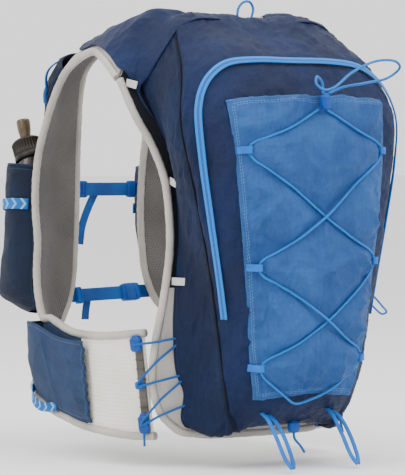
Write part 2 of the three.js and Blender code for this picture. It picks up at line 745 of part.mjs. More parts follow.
// Tape loops at the stash pocket's sides, and the bungee that runs under them
for (const { name, x, down } of BUNGEE_LOOPS) {
  const step = (Math.sign(x) * LOOP_TAPE_REACH) / HALF_WIDTH;
  const over = BUNGEE_SEAT + 2 * BUNGEE_RADIUS + 2 * CLEARANCE;
  const tape = [
    [-1.15, 0],
    [-0.95, over],
    [0.3, over],
    [1.4, 0],
  ].map(([k, lift]) => overStash(x + k * step, down, CLEARANCE + lift + LOOP_TAPE_THICKNESS / 2));
  add(name, webbing(tape, UP, LOOP_TAPE_WIDTH, LOOP_TAPE_THICKNESS, 6), BRIGHT_BLUE);
}
const bungeePlan = new THREE.CatmullRomCurve3(
  BUNGEE_ROUTE.map(({ x, down, lift }) => new THREE.Vector3(x, down, lift)),
);
const bungeeRoute = bungeePlan.getSpacedPoints(66).map((p) =>
  overStash(p.x, p.y, BUNGEE_RADIUS + BUNGEE_SEAT + clamp01(p.z) * 2.4 * BUNGEE_RADIUS),
);
add("stash_bungee", cord(bungeeRoute, BUNGEE_RADIUS, 66), BRIGHT_BLUE);

// Lock on the bungee, and the loops of spare bungee that stand out of it
const lockFrame = new Frame(
  overStash(LOCK_X, LOCK_DOWN, LOCK_THICKNESS / 2 + 2 * BUNGEE_RADIUS + BUNGEE_SEAT + 5 * CLEARANCE),
  new THREE.Vector3(-1, 0, 0),
  UP,
);
add("bungee_lock", plate(roundedBox(LOCK_WIDTH, LOCK_HEIGHT, 3), LOCK_THICKNESS, lockFrame), BRIGHT_BLUE);
const spare = SPARE_LOOP.map(({ across, out, up }) => lockFrame.at(across, out, up));
add("bungee_spare_loops", cord(spare, BUNGEE_RADIUS, 30), BRIGHT_BLUE);

// Hang loop at the top
const hangFoot = pack.lift(0.5, HANG_ALONG, FABRIC + SEAT);
const hang = HANG_LOOP.map(({ x, y, z }) => hangFoot.clone().add(new THREE.Vector3(x, y, z)));
add("hang_loop", cord(hang, LOOP_CORD_RADIUS, 13), BRIGHT_BLUE);

// Cord on the zipper's right end
const pullFoot = onPack(PULL_X, PULL_DOWN, CLEARANCE + LOOP_CORD_RADIUS);
const pull = ZIPPER_PULL.map(({ x, y, z }) => pullFoot.clone().add(new THREE.Vector3(x, y, z)));
add("zipper_pull_cord", cord(pull, LOOP_CORD_RADIUS, 16), BRIGHT_BLUE);

// One half of the harness, with everything on it
const dropped = (p) => p.clone().add(new THREE.Vector3(0, 0, -SEAM));
const wingRow = (s, i) => {
  const top = i < 3 ? dropped(leftHarness.at(i / 2, 1)) : place(s.topX, s.topY, s.topDown);
  return [top, place(s.hemX, s.hemY, s.hemDown)];
};
const leftWing = new Patch(WING.map(wingRow));
const mirroredPatch = (patch, side) => ({
  at: (u, v) => mirrored(patch.at(u, v), side),
  normal: (u, v) => mirrored(patch.normal(u, v), side),
  lift: (u, v, height) => mirrored(patch.lift(u, v, height), side),
});

// A shallow pocket over part of a patch: s across, t along, both 0 to 1
function pouch(patch, area, depth, profile, nu, nv) {
  const spot = (s, t, height) => {
    const [u, v] = [mix(area.u0, area.u1, s), mix(area.v0, area.v1, t)];
    return patch.lift(u, v, area.base + depth * profile(s, t) + height);
  };
  return wall(nu, nv, (s, t) => spot(s, t, 0), (s, t) => spot(s, t, FABRIC));
}

// Bottle pocket: half a tube on the chest, open at the top
const bottleCurve = new THREE.SplineCurve(
  BOTTLE_DEPTHS.map(({ along, depth }) => new THREE.Vector2(along, depth)),
);
const bottleDepth = (t) => BOTTLE_POCKET_DEPTH * bottleCurve.getPoint(t).y;
function onBottlePocket(patch, s, t, height) {
  const angle = Math.PI * (1 - s);
  const v = mix(BOTTLE_AREA.v0, BOTTLE_AREA.v1, t);
  const u = BOTTLE_AREA.u + BOTTLE_AREA.reach * Math.cos(angle);
  const seat = patch.lift(u, v, PADDING + SEAT);
  const swell = Math.max(Math.sin(angle), 0) ** 0.75;
  const side = patch.at(1, v).sub(patch.at(0, v)).normalize().multiplyScalar(Math.cos(angle));
  const belly = BOTTLE_BELLY * Math.sqrt(Math.max(Math.sin(angle), 0)) * (1 - t ** 4);
  const out = patch.normal(BOTTLE_AREA.u, v);
  return seat
    .addScaledVector(out, bottleDepth(t) * swell + height * Math.max(Math.sin(angle), 0.3))
    .addScaledVector(side, height + belly);
}

function harnessHalf({ side, word }) {
  const harness = mirroredPatch(leftHarness, side);
  const wing = mirroredPatch(leftWing, side);
  add(`harness_${word}`, panel(harness, 5, 16, PADDING), PALE_GREY);
  add(`side_wing_${word}`, panel(wing, 2, 14, STRETCH), OFF_WHITE);

  const arm = shares(16).map((t) => [1, Math.max(t, EDGING_START)]);
  const armpit = shares(14).slice(5).map((t) => [0, t]);
  const armhole = edging([
    { patch: harness, border: arm, thickness: PADDING },
    { patch: wing, border: armpit, thickness: STRETCH },
  ]);
  add(`armhole_binding_${word}`, armhole, PALE_GREY);

  add(`yoke_${word}`, yoke(harness, side), NAVY);

  const puff = (s, t) => (Math.sin(Math.PI * s) * Math.sin(Math.PI * mix(0.15, 1, t))) ** 0.6;
  add(`chest_pocket_${word}`, pouch(harness, CHEST_AREA, CHEST_POCKET_DEPTH, puff, 4, 6), NAVY);

  const gather = (s, t) =>
    (1 - s ** 3) * Math.sin(Math.PI * mix(0.12, 0.92, t)) ** 0.6 * mix(1, 0.5, t) + 0.05 * (1 + Math.cos(9 * Math.PI * s)) * t ** 4;
  add(`lower_pocket_${word}`, pouch(wing, LOWER_AREA, LOWER_POCKET_DEPTH, gather, 6, 10), STEEL_BLUE);

  add(
    `bottle_pocket_${word}`,
    wall(
      10,
      7,
      (s, t) => onBottlePocket(harness, s, t, 0),
      (s, t) => onBottlePocket(harness, s, t, FABRIC),
    ),
    NAVY,
  );
  const tab = [0, 0.35, 0.7, 1].map((t) =>
    harness.lift(mix(0.72, 0.86, t), mix(0.385, 0.47, t), TAB_LIFT + 5 * Math.sin(Math.PI * t)),
  );
  const tabWidth = harness.at(1, 0.42).sub(harness.at(0, 0.42));
  add(`chest_pull_tab_${word}`, webbing(tab, tabWidth, 5, WEBBING_THICKNESS, 5), BRIGHT_BLUE);
  bottleStrap(harness, word);
  sideLacing(wing, side, word);
}

// Navy cloth over the shoulder: rows along the strap from its tip, then over the pack's top
function yoke(harness, side) {
  const strap = (lift) => YOKE_STRAP.map(({ along, neck, arm }) =>
    YOKE_COLUMNS.map((t) => harness.lift(mix(neck, arm, t), along, PADDING + lift)),
  );
  const { neck: first, arm: last } = YOKE_STRAP.at(-1);
  const crest = (lift) => YOKE_COLUMNS.map((t) => {
    const across = (1 - mix(first, last, t)) / 2.4;
    return mirrored(backPanel.lift(across, 0.004, PADDING + lift), side);
  });
  const overPack = (lift) => YOKE_PACK.map(({ along, armAcross, armAlong }) => {
    const row = YOKE_ACROSS.map((u) => pack.lift(u, along, FABRIC + lift + (u === 0 ? YOKE_RIM : 0)));
    row.push(backPanel.lift(armAcross, armAlong, PADDING + lift));
    return row.map((p) => mirrored(p, side));
  });
  const [inner, outer] = [YOKE_SEAT, YOKE_SEAT + FABRIC].map((h) => [...strap(h), crest(h), ...overPack(h)]);
  const [across, along] = [inner[0].length - 1, inner.length - 1];
  const pick = (rows) => (u, v) => rows[Math.round(v * along)][Math.round(u * across)];
  return wall(across, along, pick(inner), pick(outer));
}

// Webbing round the bottle pocket, with its end standing out in front
function bottleStrap(harness, word) {
  const around = shares(7).map((s) => onBottlePocket(harness, mix(0.12, 0.99, s), STRAP_ALONG, STRAP_OFF));
  add(
    `bottle_strap_${word}`,
    webbing(around, UP, STRAP_WIDTH, WEBBING_THICKNESS, 9),
    BRIGHT_BLUE,
  );
}

// Strip on the wing's rear edge, and the cord that laces it to the pack
function sideLacing(wing, side, word) {
  const rear = shares(6).map((t) =>
    wing.lift(mix(0.02, 0.98, t), LACE_STRIP_AT, STRETCH + SEAT + LACE_STRIP_THICKNESS / 2),
  );
  const across = wing.at(0.5, 0.9).sub(wing.at(0.5, 1)).normalize();
  add(`lace_strip_${word}`, webbing(rear, across, LACE_STRIP_WIDTH, LACE_STRIP_THICKNESS, 6), DARK_GREY);

  const anchor = (share) =>
    mirrored(pack.lift(LACE_PACK_ACROSS, mix(LACE_TOP, LACE_BOTTOM, share), LACE_PACK_LIFT), side);
  const onStrip = STRETCH + SEAT + LACE_STRIP_THICKNESS;
  const lockLift = onStrip + CLEARANCE + LACE_LOCK_THICKNESS / 2;
  const cordLift = onStrip + 2 * CLEARANCE + LACE_LOCK_THICKNESS + SEAT + CINCH_RADIUS;
  const outward = new THREE.Vector3(side * LACE_BOW, LACE_BOW / 2, 0);
  const route = [];
  for (const { strip, packShare } of LACE_ROUTE) {
    const onWing = wing.lift(strip, LACE_STRIP_AT, cordLift);
    const onBag = anchor(packShare);
    const last = route.at(-1);
    if (last) route.push(last.clone().lerp(onWing, 0.5).add(outward));
    route.push(onWing, onWing.clone().lerp(onBag, 0.5).add(outward), onBag);
  }
  add(`side_lace_${word}`, cord(route, CINCH_RADIUS, 25), BRIGHT_BLUE);
  for (const { name, u, width, height } of LACE_LOCKS) {
    const up = wing.at(0, LACE_STRIP_AT).sub(wing.at(1, LACE_STRIP_AT));
    const frame = new Frame(wing.lift(u, LACE_STRIP_AT, lockLift), across.clone().multiplyScalar(side), up);
    add(`${name}_${word}`, plate(roundedBox(width, height, 2.5), LACE_LOCK_THICKNESS, frame), BRIGHT_BLUE);
  }
}
SIDES.forEach(harnessHalf);

// One rolled edge up the left hem and the left front, round the neck and down the right side
const napeFrom = 0.5 - NAPE_HALF;
const nape = shares(2).map((t) => [mix(napeFrom, 1 - napeFrom, t), 0]);
const frontRuns = (side) => [
  { patch: mirroredPatch(leftHarness, side), thickness: PADDING,
    border: shares(16).map((t) => [0, Math.max(t, EDGING_START)]) },
  { patch: mirroredPatch(leftWing, side), thickness: STRETCH,
    border: [[0.5, 0], ...shares(14).map((t) => [1, t])] },
];
const frontReversed = frontRuns(1).toReversed().map((run) => ({ ...run, border: run.border.toReversed() }));
const neckRun = { patch: backPanel, border: nape, thickness: PADDING };
add("front_binding", edging([...frontReversed, neckRun, ...frontRuns(-1)]), PALE_GREY);

// Flask in the left bottle pocket: a soft hollow body, a ribbed cap and a bite valve
const flaskFoot = leftHarness.lift(FLASK_ACROSS, FLASK_SEAT, PADDING + FLASK_GAP + FLASK_THICKNESS / 2);
const flaskTop = leftHarness.lift(FLASK_ACROSS, BOTTLE_AREA.v0, PADDING + FLASK_GAP + FLASK_THICKNESS / 2);
const flaskUp = flaskTop.clone().sub(flaskFoot).normalize();
const flaskFrame = new Frame(flaskFoot, leftHarness.at(1, 0.8).sub(leftHarness.at(0, 0.8)), flaskUp);
const neckFrame = flaskFrame.leaning(0, NECK_OUT, FLASK_LENGTH, NECK_LEAN);
const body = FLASK_RINGS.map((r) => ({
  frame: flaskFrame.leaning(0, r.out, r.up * FLASK_LENGTH),
  width: (r.width * FLASK_WIDTH) / 2,
  depth: (r.depth * FLASK_THICKNESS) / 2,
}));
const neckRings = [0, NECK_LENGTH].map((up) => ({
  frame: neckFrame.leaning(0, 0, up),
  width: NECK_RADIUS,
  depth: NECK_RADIUS,
}));
add("flask_body", vessel([...body, ...neckRings], FLASK_WALL, 12), SMOKE);

const capAxis = neckFrame.leaning(0, 0, 1);
add("flask_cap", flaskCap(capAxis), SMOKE);
function flaskCap(frame) {
  const r = CAP_RADIUS;
  const hole = NECK_RADIUS + CLEARANCE;
  const profile = [
    [hole, 0], [r, 0], [r, CAP_HEIGHT * 0.8], [r * 0.8, CAP_HEIGHT],
    [0, CAP_HEIGHT], [0, NECK_LENGTH + CLEARANCE], [hole, NECK_LENGTH + CLEARANCE],
  ];
  const lathe = new THREE.LatheGeometry(
    [...profile, profile[0]].map(([x, y]) => new THREE.Vector2(x, y)),
    14,
  );
  return placed(lathe, frame);
}

// A form turned about Y, placed so that Y is a frame's up
function placed(geometry, frame) {
  const basis = new THREE.Matrix4().makeBasis(frame.across, frame.up, frame.out);
  return geometry.applyMatrix4(basis.setPosition(frame.origin));
}

const valveFrame = capAxis.leaning(0, 0, CAP_HEIGHT + CLEARANCE, -VALVE_LEAN);
const valveProfile = [
  [0, 0], [0.75, 0], [0.8, 0.25], [1, 0.45], [1, 0.8], [0.85, 1], [0, 1],
];
add(
  "flask_valve",
  placed(
    new THREE.LatheGeometry(
      valveProfile.map(([x, y]) => new THREE.Vector2(x * VALVE_RADIUS, y * VALVE_LENGTH + 1)),
      10,
    ),
    valveFrame,
  ),
  SMOKE,
);

// Sternum straps: each side's webbing starts on the chest panel and crosses in front
const onChest = (side, u, v, height) => mirrored(leftHarness.lift(u, v, PADDING + height), side);
const sternumAt = (left, right, t, forward) =>
  left.clone().lerp(right, t).add(new THREE.Vector3(0, -forward, 0));
function sternum(name, leftV, rightV, tailAt, tailLength, tailLean) {
  const left = onChest(1, STERNUM_EDGE, leftV, STERNUM_LIFT);
  const right = onChest(-1, STERNUM_EDGE, rightV, STERNUM_LIFT);
  const seated = CLEARANCE + SEAT / 2 + WEBBING_THICKNESS / 2;
  const strap = [
    onChest(1, STERNUM_END, leftV, seated),
    left,
    ...[0.08, 0.35, 0.65, 0.92].map((t) => sternumAt(left, right, t, STERNUM_BOW)),
    right,
    onChest(-1, STERNUM_END, rightV, seated),
  ];
  const slope = leftHarness.at(0.1, leftV - 0.03).sub(leftHarness.at(0.1, leftV + 0.03));
  const upright = new THREE.Vector3(0, slope.y, slope.z).normalize();
  add(`${name}_strap`, webbing(strap, upright, WEBBING_WIDTH, WEBBING_THICKNESS, 14), BRIGHT_BLUE);
  const top = sternumAt(left, right, tailAt, STERNUM_BOW + WEBBING_THICKNESS + 1);
  const tail = [0, 0.33, 0.66, 1].map((t) => {
    const swing = Math.sin(t * Math.PI * 0.5) * tailLean;
    return top.clone().add(new THREE.Vector3(swing, -2 * t, -t * tailLength));
  });
  const width = new THREE.Vector3(1, 0, 0);
  add(`${name}_tail`, webbing(tail, width, WEBBING_WIDTH * 0.66, WEBBING_THICKNESS, 6), BRIGHT_BLUE);
  return { left, right, upright };
}
const upper = sternum("upper_sternum", UPPER_V, UPPER_V, 0.42, 62, 22);
const lower = sternum("lower_sternum", LOWER_V_LEFT, LOWER_V_RIGHT, 0.32, 28, 3);

// A moulded sleeve round the webbing at share t of its way from left to right
function sleeve(name, ends, t, length, height, thickness) {
  const outline = roundedBox(thickness, height, 2);
  const slot = roundedBox(WEBBING_THICKNESS + 2 * CLEARANCE, WEBBING_WIDTH + 2 * CLEARANCE, 0.3);
  outline.holes.push(new THREE.Path(slot.getPoints(2)));
  const along = ends.right.clone().sub(ends.left).normalize();
  const up = ends.upright.clone().addScaledVector(along, -ends.upright.dot(along)).normalize();
  const origin = sternumAt(ends.left, ends.right, t, STERNUM_BOW).addScaledVector(along, -length / 2);
  const geometry = new THREE.ExtrudeGeometry(outline, { depth: length, bevelEnabled: false, curveSegments: 2 });
  geometry.applyMatrix4(
    new THREE.Matrix4().makeBasis(up.clone().cross(along), up, along).setPosition(origin),
  );
  add(name, geometry, BRIGHT_BLUE);
}
sleeve("upper_sternum_adjuster", upper, 0.19, 15, 19, 6);
sleeve("upper_sternum_slider", upper, 0.87, 11, 19, 6);
sleeve("lower_sternum_slider", lower, 0.2, 9, 19, 6);
sleeve("lower_sternum_buckle", lower, 0.76, 24, 20, 9);

// Lock under the pack where the bungee is tied off
const tieFrame = new Frame(onPack(TIE_X, TIE_DOWN, SEAT + LOCK_THICKNESS / 2 + 2), new THREE.Vector3(-1, 0, 0), UP);
add("bottom_cord_lock", plate(roundedBox(LOCK_WIDTH + 2, LOCK_HEIGHT - 3, 3), LOCK_THICKNESS, tieFrame), BRIGHT_BLUE);

// Two webbing loops for poles under the pack
for (const { side, word } of SIDES) {
  const foot = (x, down) => onPack(side * POLE_X + x / HALF_WIDTH, down, 2 * CLEARANCE - POLE_WEBBING_THICKNESS / 2);
  const middle = foot(0, POLE_DOWN);
  const hanging = POLE_LOOP.map(({ x, y, z }) => middle.clone().add(new THREE.Vector3(x, y, z)));
  const loop = [foot(POLE_SPREAD, POLE_DOWN), ...hanging, foot(-POLE_SPREAD, POLE_DOWN + 0.006)];
  add(`pole_loop_${word}`, webbing(loop, new THREE.Vector3(1, 0, 0), POLE_WEBBING_WIDTH, POLE_WEBBING_THICKNESS, 16), BRIGHT_BLUE);
}

export default vest;
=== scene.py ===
# %% [markdown]
# # A running hydration vest
# The vest is a light pack on a padded back panel, with two harness halves that come over the
# shoulders to the chest. Every piece here is made in mesh code: smooth surfaces through rows of
# points, thin cloth with real thickness, round cords along routes, and moulded plastic.
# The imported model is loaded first, because each piece has to sit where its solid is.

# %% The frame
import math

import bpy
import numpy as np
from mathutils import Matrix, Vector


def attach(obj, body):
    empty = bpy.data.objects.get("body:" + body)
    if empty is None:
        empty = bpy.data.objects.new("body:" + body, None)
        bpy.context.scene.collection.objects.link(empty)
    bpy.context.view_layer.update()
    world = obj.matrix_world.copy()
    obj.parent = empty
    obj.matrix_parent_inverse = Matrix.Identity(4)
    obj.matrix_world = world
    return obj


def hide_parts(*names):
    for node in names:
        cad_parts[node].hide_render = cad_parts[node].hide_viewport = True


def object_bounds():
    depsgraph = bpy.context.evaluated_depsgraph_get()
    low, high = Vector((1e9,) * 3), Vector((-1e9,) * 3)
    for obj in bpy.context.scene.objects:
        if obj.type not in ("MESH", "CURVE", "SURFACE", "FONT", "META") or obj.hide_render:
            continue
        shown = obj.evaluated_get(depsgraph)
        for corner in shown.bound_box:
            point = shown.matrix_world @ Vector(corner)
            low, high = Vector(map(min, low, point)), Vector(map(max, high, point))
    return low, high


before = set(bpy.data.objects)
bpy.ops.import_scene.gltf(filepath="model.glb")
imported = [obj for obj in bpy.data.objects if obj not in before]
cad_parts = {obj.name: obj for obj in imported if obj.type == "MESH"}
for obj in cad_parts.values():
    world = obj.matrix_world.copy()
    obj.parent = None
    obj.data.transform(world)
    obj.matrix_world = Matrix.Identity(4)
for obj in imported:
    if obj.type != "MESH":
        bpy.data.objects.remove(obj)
cad_low, cad_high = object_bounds()
print("solids from", [round(v, 3) for v in cad_low], "to", [round(v, 3) for v in cad_high])

# %% [markdown]
# ## Camera
# The photograph looks at the wearer's back and left side from about the height of the pack, and
# from far away, so a long lens from three metres keeps its flat look. The long side of the
# sensor is the image's height.

# %% Camera
VIEW_TARGET = Vector((0, 0, -0.235))
VIEW_AZIMUTH = math.radians(144)
VIEW_ELEVATION = math.radians(1.5)
VIEW_DISTANCE = 3.0
VIEW_LENS = 211.4
SENSOR_LONG_SIDE = 36

back_of_view = Vector((
    math.sin(VIEW_AZIMUTH) * math.cos(VIEW_ELEVATION),
    -math.cos(VIEW_AZIMUTH) * math.cos(VIEW_ELEVATION),
    math.sin(VIEW_ELEVATION),
))
camera = bpy.data.objects.new("camera", bpy.data.cameras.new("camera"))
bpy.context.scene.collection.objects.link(camera)
camera.data.lens = VIEW_LENS
camera.data.sensor_width = SENSOR_LONG_SIDE
camera.location = VIEW_TARGET + back_of_view * VIEW_DISTANCE
camera.rotation_mode = "QUATERNION"
camera.rotation_quaternion = (-back_of_view).to_track_quat("-Z", "Y")
bpy.context.scene.camera = camera
print("camera at", [round(v, 3) for v in camera.location])

# %% [markdown]
# ## Smooth surfaces
# Cloth is drawn as a sheet through rows of points, which is how a pattern maker thinks of it:
# rows across, columns along. A centripetal Catmull-Rom curve goes through every point without
# loops. Evaluating many curves at once with numpy keeps dense sheets quick.

# %% Curves and patches
HALF_WIDTH = 0.140
CHEST_DEPTH = 0.180
BACK_DEPTH = 0.100
VEST_HEIGHT = 0.440
PACK_DEPTH = 0.092
PROBE = 0.01
SHORTEST = 1e-4
# A place inside the vest, from which the normals of its surfaces point away
HEART = np.array([0, -0.2 * CHEST_DEPTH, -0.45 * VEST_HEIGHT])


def spline(points, shares, paired=False):
    """Points on curves through points[0], points[1], ...; one share each when paired."""
    p = np.asarray(points, float)
    full = np.concatenate([2 * p[:1] - p[1:2], p, 2 * p[-1:] - p[-2:-1]])
    x = np.clip(np.asarray(shares, float), 0, 1) * (len(p) - 1)
    i = np.minimum(x.astype(int), len(p) - 2)
    w = (x - i).reshape((-1,) + (1,) * (1 if paired else p.ndim - 1))
    if paired:
        a, b, c, d = (full[i + k, np.arange(len(i))] for k in range(4))
    else:
        a, b, c, d = (full[i + k] for k in range(4))

    def knot(q, r):
        return np.sqrt(np.linalg.norm(r - q, axis=-1, keepdims=True))

    d1 = np.maximum(knot(b, c), SHORTEST)
    d0 = np.maximum(knot(a, b), SHORTEST)
    d2 = np.maximum(knot(c, d), SHORTEST)
    t1 = ((b - a) / d0 - (c - a) / (d0 + d1) + (c - b) / d1) * d1
    t2 = ((c - b) / d1 - (d - b) / (d1 + d2) + (d - c) / d2) * d1
    return b + t1 * w + (3 * c - 3 * b - 2 * t1 - t2) * w**2 + (2 * b - 2 * c + t1 + t2) * w**3


def unit(v):
    return v / np.maximum(np.linalg.norm(v, axis=-1, keepdims=True), 1e-12)


class Patch:
    """A smooth surface through rows of points: u across a row, v down the rows."""

    def __init__(self, rows, side=1):
        self.rows = np.array(rows, float)
        self.side = side

    def mirrored(self):
        return Patch(self.rows, -self.side)

    def at(self, u, v):
        u, v = np.broadcast_arrays(np.asarray(u, float), np.asarray(v, float))
        flat = spline(self.rows, v.ravel())
        found = spline(flat.transpose(1, 0, 2), u.ravel(), paired=True)
        return (found * [self.side, 1, 1]).reshape(u.shape + (3,))

    def normal(self, u, v):
        u, v = np.broadcast_arrays(np.asarray(u, float), np.asarray(v, float))
        along = self.at(u, np.minimum(v + PROBE, 1)) - self.at(u, np.maximum(v - PROBE, 0))
        across = self.at(np.minimum(u + PROBE, 1), v) - self.at(np.maximum(u - PROBE, 0), v)
        n = unit(np.cross(across, along))
        towards = np.sum(n * (self.at(u, v) - HEART), axis=-1, keepdims=True)
        return np.where(towards < 0, -n, n)

    def lift(self, u, v, height):
        return self.at(u, v) + self.normal(u, v) * np.asarray(height, float)[..., None]


def grid(across, along):
    """Shares u and v of a grid with that many steps across and along."""
    return np.meshgrid(np.linspace(0, 1, across + 1), np.linspace(0, 1, along + 1))


def mix(a, b, t):
    return a + (b - a) * t


def place(x, y, down):
    """A point from shares of the half width, the depth in front or behind, and the height."""
    return [x * HALF_WIDTH, y * (CHEST_DEPTH if y < 0 else BACK_DEPTH), -down * VEST_HEIGHT]


print("curves and patches ready")

# %% [markdown]
# ## From points to pieces
# A piece of cloth has a right side, a wrong side and a rim between them. The sheet helper
# joins the two faces into one closed skin. It also writes two attributes for the materials:
# cloth holds the distance in metres across and along the sheet, for weave and ribs, and hem
# holds the distance to the nearest border and the way along that border, for stitches.

# %% Sheets, tubes and loose parts
looks = {}
FINE_STEPS = 12
PEBBLE_RINGS, PEBBLE_SIDES = 14, 28
UP = np.array([0, 0, 1.0])
ACROSS = np.array([1.0, 0, 0])


def make_object(name, vertices, faces, materials, face_looks=None, attributes=None):
    mesh = bpy.data.meshes.new(name)
    mesh.from_pydata(np.asarray(vertices).reshape(-1, 3).tolist(), [], faces)
    for attribute, values in (attributes or {}).items():
        data = mesh.attributes.new(attribute, "FLOAT_VECTOR", "POINT")
        data.data.foreach_set("vector", np.asarray(values, float).reshape(-1).tolist())
    mesh.polygons.foreach_set("use_smooth", [True] * len(mesh.polygons))
    for look in materials:
        mesh.materials.append(looks[look])
    if face_looks is not None:
        mesh.polygons.foreach_set("material_index", face_looks)
    mesh.update()
    piece = bpy.data.objects.new(name, mesh)
    bpy.context.scene.collection.objects.link(piece)
    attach(piece, "root")
    return piece


def stands_for(piece, node):
    """The piece replaces that solid, which is hidden."""
    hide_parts(node)
    return piece


def trim(piece):
    """A small part that has no solid of its own."""
    return piece


def lengths(points, axis):
    """Distances run along one axis of a grid of points."""
    steps = np.linalg.norm(np.diff(points, axis=axis), axis=-1)
    start = np.zeros_like(np.take(steps, [0], axis=axis))
    return np.concatenate([start, np.cumsum(steps, axis=axis)], axis=axis)


def sheet_attributes(outer):
    """The cloth and hem attributes of a grid of points."""
    s, t = lengths(outer, 1), lengths(outer, 0)
    sides = np.minimum(s, s[:, -1:] - s)
    ends = np.minimum(t, t[-1:] - t)
    hem = np.stack([np.minimum(sides, ends), np.where(sides < ends, t, s), sides], -1)
    return np.stack([s - s[:, -1:] / 2, t, np.zeros_like(s)], -1), hem


def sheet(name, outer, inner, look, lining=None, rim=None):
    """A closed skin between two grids of points, with a look for each face and the rim."""
    nv, nu = outer.shape[:2]
    ids = np.arange(2 * nv * nu).reshape(2, nv, nu)
    quads = []
    for layer, flip in ((0, False), (1, True)):
        g = ids[layer]
        q = np.stack([g[:-1, :-1], g[:-1, 1:], g[1:, 1:], g[1:, :-1]], -1).reshape(-1, 4)
        quads.append(q[:, ::-1] if flip else q)
    loop = [(0, slice(None)), (slice(None), -1), (-1, slice(None, None, -1)), (slice(None, None, -1), 0)]
    for spot in loop:
        a, b = ids[0][spot], ids[1][spot]
        quads.append(np.stack([a[:-1], b[:-1], b[1:], a[1:]], -1))
    faces = np.concatenate(quads)
    which = np.repeat([0, 1, 2], [len(quads[0]), len(quads[1]), sum(map(len, quads[2:]))])
    row, column = nv // 2, nu // 2
    centre = outer[row, column]
    turn = np.cross(outer[row, column + 1] - centre, outer[row + 1, column] - centre)
    if np.dot(turn, centre - inner[row, column]) < 0:
        faces = faces[:, ::-1]
    cloth, hem = sheet_attributes(outer)
    return make_object(
        name, np.stack([outer, inner]), faces.tolist(), [look, lining or look, rim or lining or look],
        which.tolist(), {"cloth": np.stack([cloth, cloth]), "hem": np.stack([hem, hem])},
    )


def cut_cloth(piece):
    """Hands the piece back as it is."""
    return piece


def resample(points, count):
    """Evenly spaced points on the smooth curve through points."""
    fine = spline(points, np.linspace(0, 1, FINE_STEPS * len(points) + 1))
    run = lengths(fine, 0)
    want = np.linspace(0, run[-1], count)
    return np.stack([np.interp(want, run, fine[:, k]) for k in range(3)], -1)


def carried_frames(line, towards=None):
    """Tangents and two cross axes along a line, kept from twisting, or kept towards a direction."""
    tangents = unit(np.gradient(line, axis=0))
    if towards is not None:
        x = unit(towards - tangents * np.sum(towards * tangents, -1, keepdims=True))
        return tangents, x, np.cross(tangents, x)
    x = np.zeros_like(line)
    seed = UP if abs(tangents[0][2]) < 0.9 else ACROSS
    x[0] = unit(seed - tangents[0] * np.dot(seed, tangents[0]))
    for k in range(1, len(line)):
        x[k] = unit(x[k - 1] - tangents[k] * np.dot(x[k - 1], tangents[k]))
    return tangents, x, np.cross(tangents, x)


def tube_faces(count, around):
    """Faces of a tube of count rings, with a flat face at each end."""
    ids = np.arange(count * around).reshape(count, around)
    following = np.roll(ids, -1, axis=1)
    faces = np.stack([ids[:-1], following[:-1], following[1:], ids[1:]], -1).reshape(-1, 4).tolist()
    return faces + [ids[0][::-1].tolist(), ids[-1].tolist()]


def swept(name, line, section, look, towards=None, scale=None):
    """A closed section [x, y] carried along a line, with flat ends."""
    _, x, y = carried_frames(line, towards)
    section = np.asarray(section, float)
    size = np.ones(len(line)) if scale is None else np.asarray(scale)
    points = line[:, None] + size[:, None, None] * (
        x[:, None] * section[None, :, :1] + y[:, None] * section[None, :, 1:])
    shape = points.shape[:2]
    round_way = lengths(np.vstack([section, section[:1]])[None], 1)[0, :-1]
    measures = (round_way, lengths(line, 0)[:, None], section[None, :, 0])
    cloth = np.stack([np.broadcast_to(measure, shape) for measure in measures], -1)
    return make_object(name, points, tube_faces(*shape), [look], None, {"cloth": cloth})


def circle(radius, sides):
    turn = 2 * np.pi * (np.arange(sides) + 0.5) / sides
    return np.stack([radius * np.cos(turn), radius * np.sin(turn)], -1)


def ribbon_section(width, thickness):
    """A flat section with rounded edges and a slightly crowned middle."""
    half, t = width / 2, thickness / 2
    upper = [[-half, 0], [-half + 0.4 * t, 0.75 * t], [-half + t, t], [-0.5 * half, t], [0, t],
             [0.5 * half, t], [half - t, t], [half - 0.4 * t, 0.75 * t], [half, 0]]
    return upper + [[x, -y] for x, y in upper[-2:0:-1]]


def joined(name, parts):
    """Several loose parts of one piece as one object."""
    with bpy.context.temp_override(active_object=parts[0], selected_editable_objects=parts):
        bpy.ops.object.join()
    parts[0].name = name
    return parts[0]


def axes(across, up):
    """Three square axes: across, out and up, with up kept."""
    up = unit(np.asarray(up, float))
    out = unit(np.cross(across, up))
    return np.stack([np.cross(up, out), out, up])


def pebble(name, origin, frame_axes, size, look, square=0.45):
    """A moulded lump: an ellipsoid squared off towards a box, size across, out and up."""

    def squared(c):
        return np.sign(c) * np.abs(c) ** square

    lean = np.linspace(-np.pi / 2, np.pi / 2, PEBBLE_RINGS)
    turn = 2 * np.pi * np.arange(PEBBLE_SIDES) / PEBBLE_SIDES
    x = squared(np.cos(lean))[:, None] * squared(np.cos(turn))[None]
    y = squared(np.cos(lean))[:, None] * squared(np.sin(turn))[None]
    z = np.broadcast_to(squared(np.sin(lean))[:, None], x.shape)
    local = np.stack([x, y, z], -1) * np.asarray(size) / 2
    points = np.asarray(origin) + local @ frame_axes
    return make_object(name, points, tube_faces(*x.shape), [look], None, {"cloth": local})


print("helpers ready")

# %% [markdown]
# ## Shader maths
# A material is a small sum over the surface. One class wraps a socket, so that a line such as
# 1 - mask * 0.3 adds the Math nodes it stands for, and one method makes every other node.

